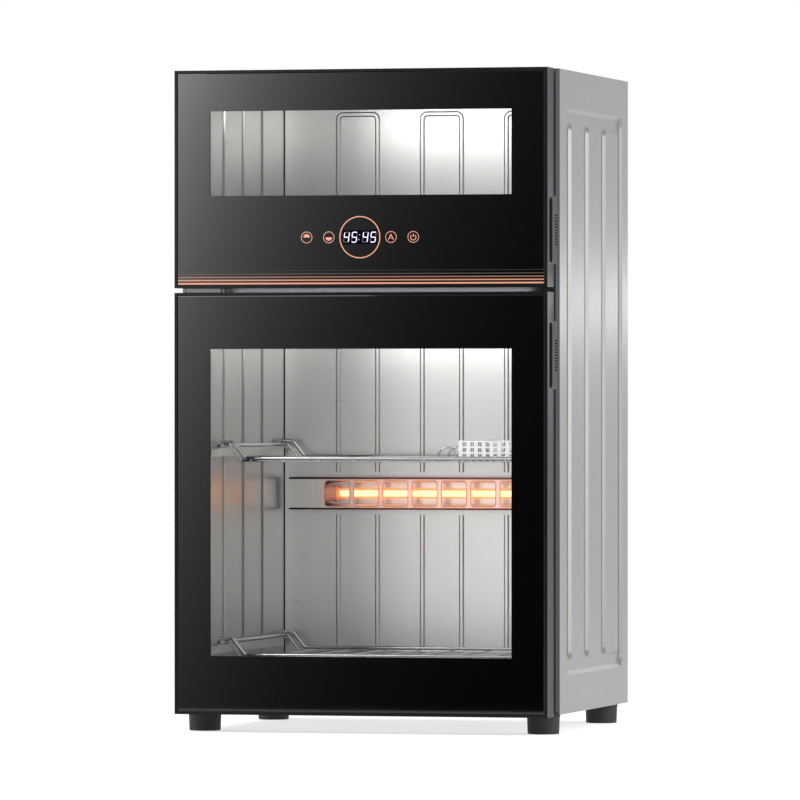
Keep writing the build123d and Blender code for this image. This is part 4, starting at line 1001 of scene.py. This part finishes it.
def floor():
    """A plain white floor that keeps the cabinet's shadow."""
    bm = bmesh.new()
    bmesh.ops.create_grid(bm, x_segments=8, y_segments=8, size=settings("studio").floor_width / 2)
    material, tree = empty_tree("White_Studio_Floor")
    paint = add(tree, "ShaderNodeBsdfDiffuse", {"Color": (0.8, 0.8, 0.8, 1)})
    lift = arithmetic(tree, "MULTIPLY", {0: seen(tree)}, {1: FLOOR_LIFT})
    light = add(tree, "ShaderNodeEmission", {"Color": (1, 1, 1, 1)}, {"Strength": lift})
    both = add(tree, "ShaderNodeAddShader", None, {0: paint.outputs[0], 1: light.outputs[0]})
    surface_output(tree, both)
    ground = stage_piece("floor", bm, material)


def reflection_card():
    """A card in front of the glass that only reflections show, bright at its upper left."""
    bm = bmesh.new()
    place = Matrix.Translation((CARD_X, CARD_Y, CARD_HALF_HEIGHT)) @ UPRIGHT
    shape = Matrix.Diagonal((CARD_HALF_WIDTH, CARD_HALF_HEIGHT, 1, 1))
    bmesh.ops.create_grid(bm, x_segments=4, y_segments=4, size=1, matrix=place @ shape)
    material, tree = empty_tree("Graded_Reflection_Card")
    axes = add(tree, "ShaderNodeSeparateXYZ", None, {0: object_point(tree)})
    across = arithmetic(tree, "MULTIPLY_ADD", {0: axes.outputs["X"]}, {1: FADE_ACROSS, 2: FADE_START})
    both = arithmetic(tree, "MULTIPLY_ADD", {0: axes.outputs["Z"], 2: across}, {1: FADE_UP})
    power = arithmetic(tree, "EXPONENT", {0: both})
    light = add(tree, "ShaderNodeEmission", {"Color": (1, 1, 1, 1)}, {"Strength": power})
    surface_output(tree, light)
    card = stage_piece("reflection_card", bm, material)
    card.visible_camera = card.visible_diffuse = card.visible_shadow = card.visible_transmission = False


def lamp(name, place, aim, width, height, power):
    """A soft rectangular lamp that faces a point; only its light shows."""
    data = bpy.data.lights.new(name, "AREA")
    data.shape = "RECTANGLE"
    data.size, data.size_y = width, height
    data.energy = power
    light = placed(name, data)
    light.location = place
    light.rotation_euler = (Vector(aim) - Vector(place)).to_track_quat("-Z", "Y").to_euler()
    light.visible_camera = False
    return light


def lamps():
    """The studio's lamps, and the soft ones in the chambers, at the heater and between the doors."""
    looks = settings("studio")
    # Each has its place, the point it faces, its width and height, all in metres, and its power.
    lamp("key", (-1.8, -2.6, 2.4), (0, 0, 0.4), 1.6, 1.6, looks.key_light)
    lamp("strip", (0.75, 2.1, 0.5), (0.213, 0, 0.48), 1.2, 0.06, looks.strip_light)
    lamp("side", (2.6, -0.2, 0.6), (0.213, 0, 0.4), 1.4, 2.4, looks.side_light)
    glow_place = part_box("heater_guard")[0].y - 30 * MM
    glow_height = sum(corner.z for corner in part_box("heater_guard")) / 2
    place, aim = (0.04, glow_place, glow_height), (0.04, 1, glow_height)
    warm = lamp("heater_glow", place, aim, 0.3, 0.02, looks.heater_light)
    warm.data.color = linear("#FFA080")
    gap = (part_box("lower_door_top_rail")[1].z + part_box("upper_door_bottom_rail")[0].z) / 2
    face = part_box("front_bezel")[0].y
    lamp("door_gap", (0, face - 12 * MM, gap), (0, face, gap), 0.36, 3 * MM, looks.gap_light)
    for chamber, node in (("upper", "upper_ceiling"), ("lower", "lower_ceiling")):
        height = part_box(node)[0].z - 18 * MM
        place, aim = (0, -0.1, height), (0, 0.18, height - 0.12)
        lamp(chamber + "_chamber", place, aim, 0.3, 30 * MM, looks.chamber_light)


# ---- one operator for each group of pieces ----
class CABINET_OT_casing(bpy.types.Operator):
    """Coat the casing, the front surround, the base, the feet and the fittings"""

    bl_idname = "cabinet.casing"
    bl_label = "Casing"

    def execute(self, context):
        coat("coated_steel", "side_panel_left", "side_panel_right", "top_panel")
        coat("bezel_steel", "front_bezel")
        coat("galvanised_steel", "back_panel", "base_panel")
        coat("foot_rubber", "feet")
        coat("electric_plastic", "cable_gland", "door_switches")
        coat("electric_plastic", "upper_switch_plunger", "lower_switch_plunger")
        coat("hinge_steel", "hinge_bracket_top", "hinge_bracket_middle", "hinge_bracket_bottom")
        coat("hinge_steel", "hinge_pins", "screws")
        return {"FINISHED"}


class CABINET_OT_chambers(bpy.types.Operator):
    """Finish the steel chambers, their rails, the wire racks and the basket"""

    bl_idname = "cabinet.chambers"
    bl_label = "Chambers and racks"

    def execute(self, context):
        for chamber in ("upper_", "lower_"):
            for part in ("floor", "ceiling", "rear_wall", "rack_rails"):
                coat("chamber_steel", chamber + part)
            coat("shaded_side_steel", chamber + "wall_left", chamber + "wall_right")
        coat("perforated_steel", "cutlery_basket")
        corner_shadow_beads()
        coat("chrome_wire", "upper_rack", "middle_rack", "bottom_rack")
        return {"FINISHED"}


class CABINET_OT_door_frames(bpy.types.Operator):
    """Break the edges of the doors' frame bars and finish the parts inside the doors"""

    bl_idname = "cabinet.door_frames"
    bl_label = "Door frames"

    def execute(self, context):
        edge = context.scene.door_looks.frame_edge
        for door in ("upper_door_", "lower_door_"):
            for bar in ("top_rail", "bottom_rail", "hinge_stile", "handle_stile"):
                softened(door + bar, edge, "frame_aluminium")
            grip_slot_shadows(door.removesuffix("_door_"))
            coat("door_inner", door + "liner")
            coat("seal_rubber", door + "seal")
            coat("handle_plastic", door + "handle")
            coat("bush_plastic", door + "bushes")
        return {"FINISHED"}


class CABINET_OT_glass(bpy.types.Operator):
    """Make the two panes, black round their windows"""

    bl_idname = "cabinet.glass"
    bl_label = "Glass panes"

    def execute(self, context):
        looks = context.scene.door_looks
        glass_pane("upper", looks.upper_window_low, looks.upper_window_high)
        glass_pane("lower", looks.lower_window_low, looks.lower_window_high)
        return {"FINISHED"}


class CABINET_OT_display(bpy.types.Operator):
    """Make the time display, its ring, the touch keys and the fading lines"""

    bl_idname = "cabinet.display"
    bl_label = "Display and print"

    def execute(self, context):
        unknown = set(context.scene.display_looks.time) - set(LIT) - {":"}
        if unknown:
            raise ValueError(f"the display has no sign for {sorted(unknown)}")
        stripe_print()
        key_print()
        time_display()
        coat("circuit_board", "display_module")
        return {"FINISHED"}


class CABINET_OT_heater(bpy.types.Operator):
    """Make the hot coil and its quartz tube, and finish the guard, caps and cut-outs"""

    bl_idname = "cabinet.heater"
    bl_label = "Heater"

    def execute(self, context):
        heater_tube()
        window_rims()
        coat("guard_painted_shadow_glow", "heater_guard")
        coat("chamber_steel", "heater_clips")
        coat("ceramic", "heater_caps", "thermal_cutouts")
        return {"FINISHED"}


class CABINET_OT_electrics(bpy.types.Operator):
    """Finish the power board, the ozone generator and the warming plate"""

    bl_idname = "cabinet.electrics"
    bl_label = "Electrics"

    def execute(self, context):
        coat("circuit_board", "power_board")
        coat("electric_plastic", "board_standoffs", "ozone_generator")
        coat("hinge_steel", "upper_heater_plate")
        return {"FINISHED"}


class CABINET_OT_studio(bpy.types.Operator):
    """Set the camera, the white floor and background, the lamps and the reflection card"""

    bl_idname = "cabinet.studio"
    bl_label = "Studio"

    def execute(self, context):
        for other in list(bpy.data.objects):
            if other.name in ("Cube", "Light", "Camera"):
                bpy.data.objects.remove(other)
        context.scene.view_settings.view_transform = "Standard"
        camera()
        background()
        floor()
        reflection_card()
        lamps()
        return {"FINISHED"}


GROUPS = (CasingLooks, ChamberLooks, DoorLooks, DisplayLooks, HeaterLooks, StudioLooks)
PLACES = ("casing_looks", "chamber_looks", "door_looks", "display_looks", "heater_looks", "studio_looks")
STEPS = (
    CABINET_OT_studio, CABINET_OT_casing, CABINET_OT_chambers, CABINET_OT_door_frames, CABINET_OT_glass,
    CABINET_OT_display, CABINET_OT_heater, CABINET_OT_electrics,
)


class CABINET_PT_sidebar(bpy.types.Panel):
    """The cabinet's steps and what they read"""

    bl_idname = "CABINET_PT_sidebar"
    bl_label = "Dish sterilizer cabinet"
    bl_space_type = "VIEW_3D"
    bl_region_type = "UI"
    bl_category = "Cabinet"

    def draw(self, context):
        for step in STEPS:
            self.layout.operator(step.bl_idname)
        for place in PLACES:
            looks = getattr(context.scene, place)
            box = self.layout.box()
            box.label(text=place.replace("_", " ").capitalize())
            for name in looks.__annotations__:
                box.prop(looks, name)


def register():
    """Register the classes and hang the properties on the scene."""
    for each in GROUPS + STEPS + (CABINET_PT_sidebar,):
        bpy.utils.register_class(each)
    for place, group in zip(PLACES, GROUPS):
        setattr(bpy.types.Scene, place, PointerProperty(type=group))


def unregister():
    """Take the properties and the classes away again."""
    for place in PLACES:
        delattr(bpy.types.Scene, place)
    for each in reversed(GROUPS + STEPS + (CABINET_PT_sidebar,)):
        bpy.utils.unregister_class(each)


def main():
    """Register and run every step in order."""
    register()
    for step in STEPS:
        group, name = step.bl_idname.split(".")
        getattr(getattr(bpy.ops, group), name)()


if __name__ == "__main__":
    main()
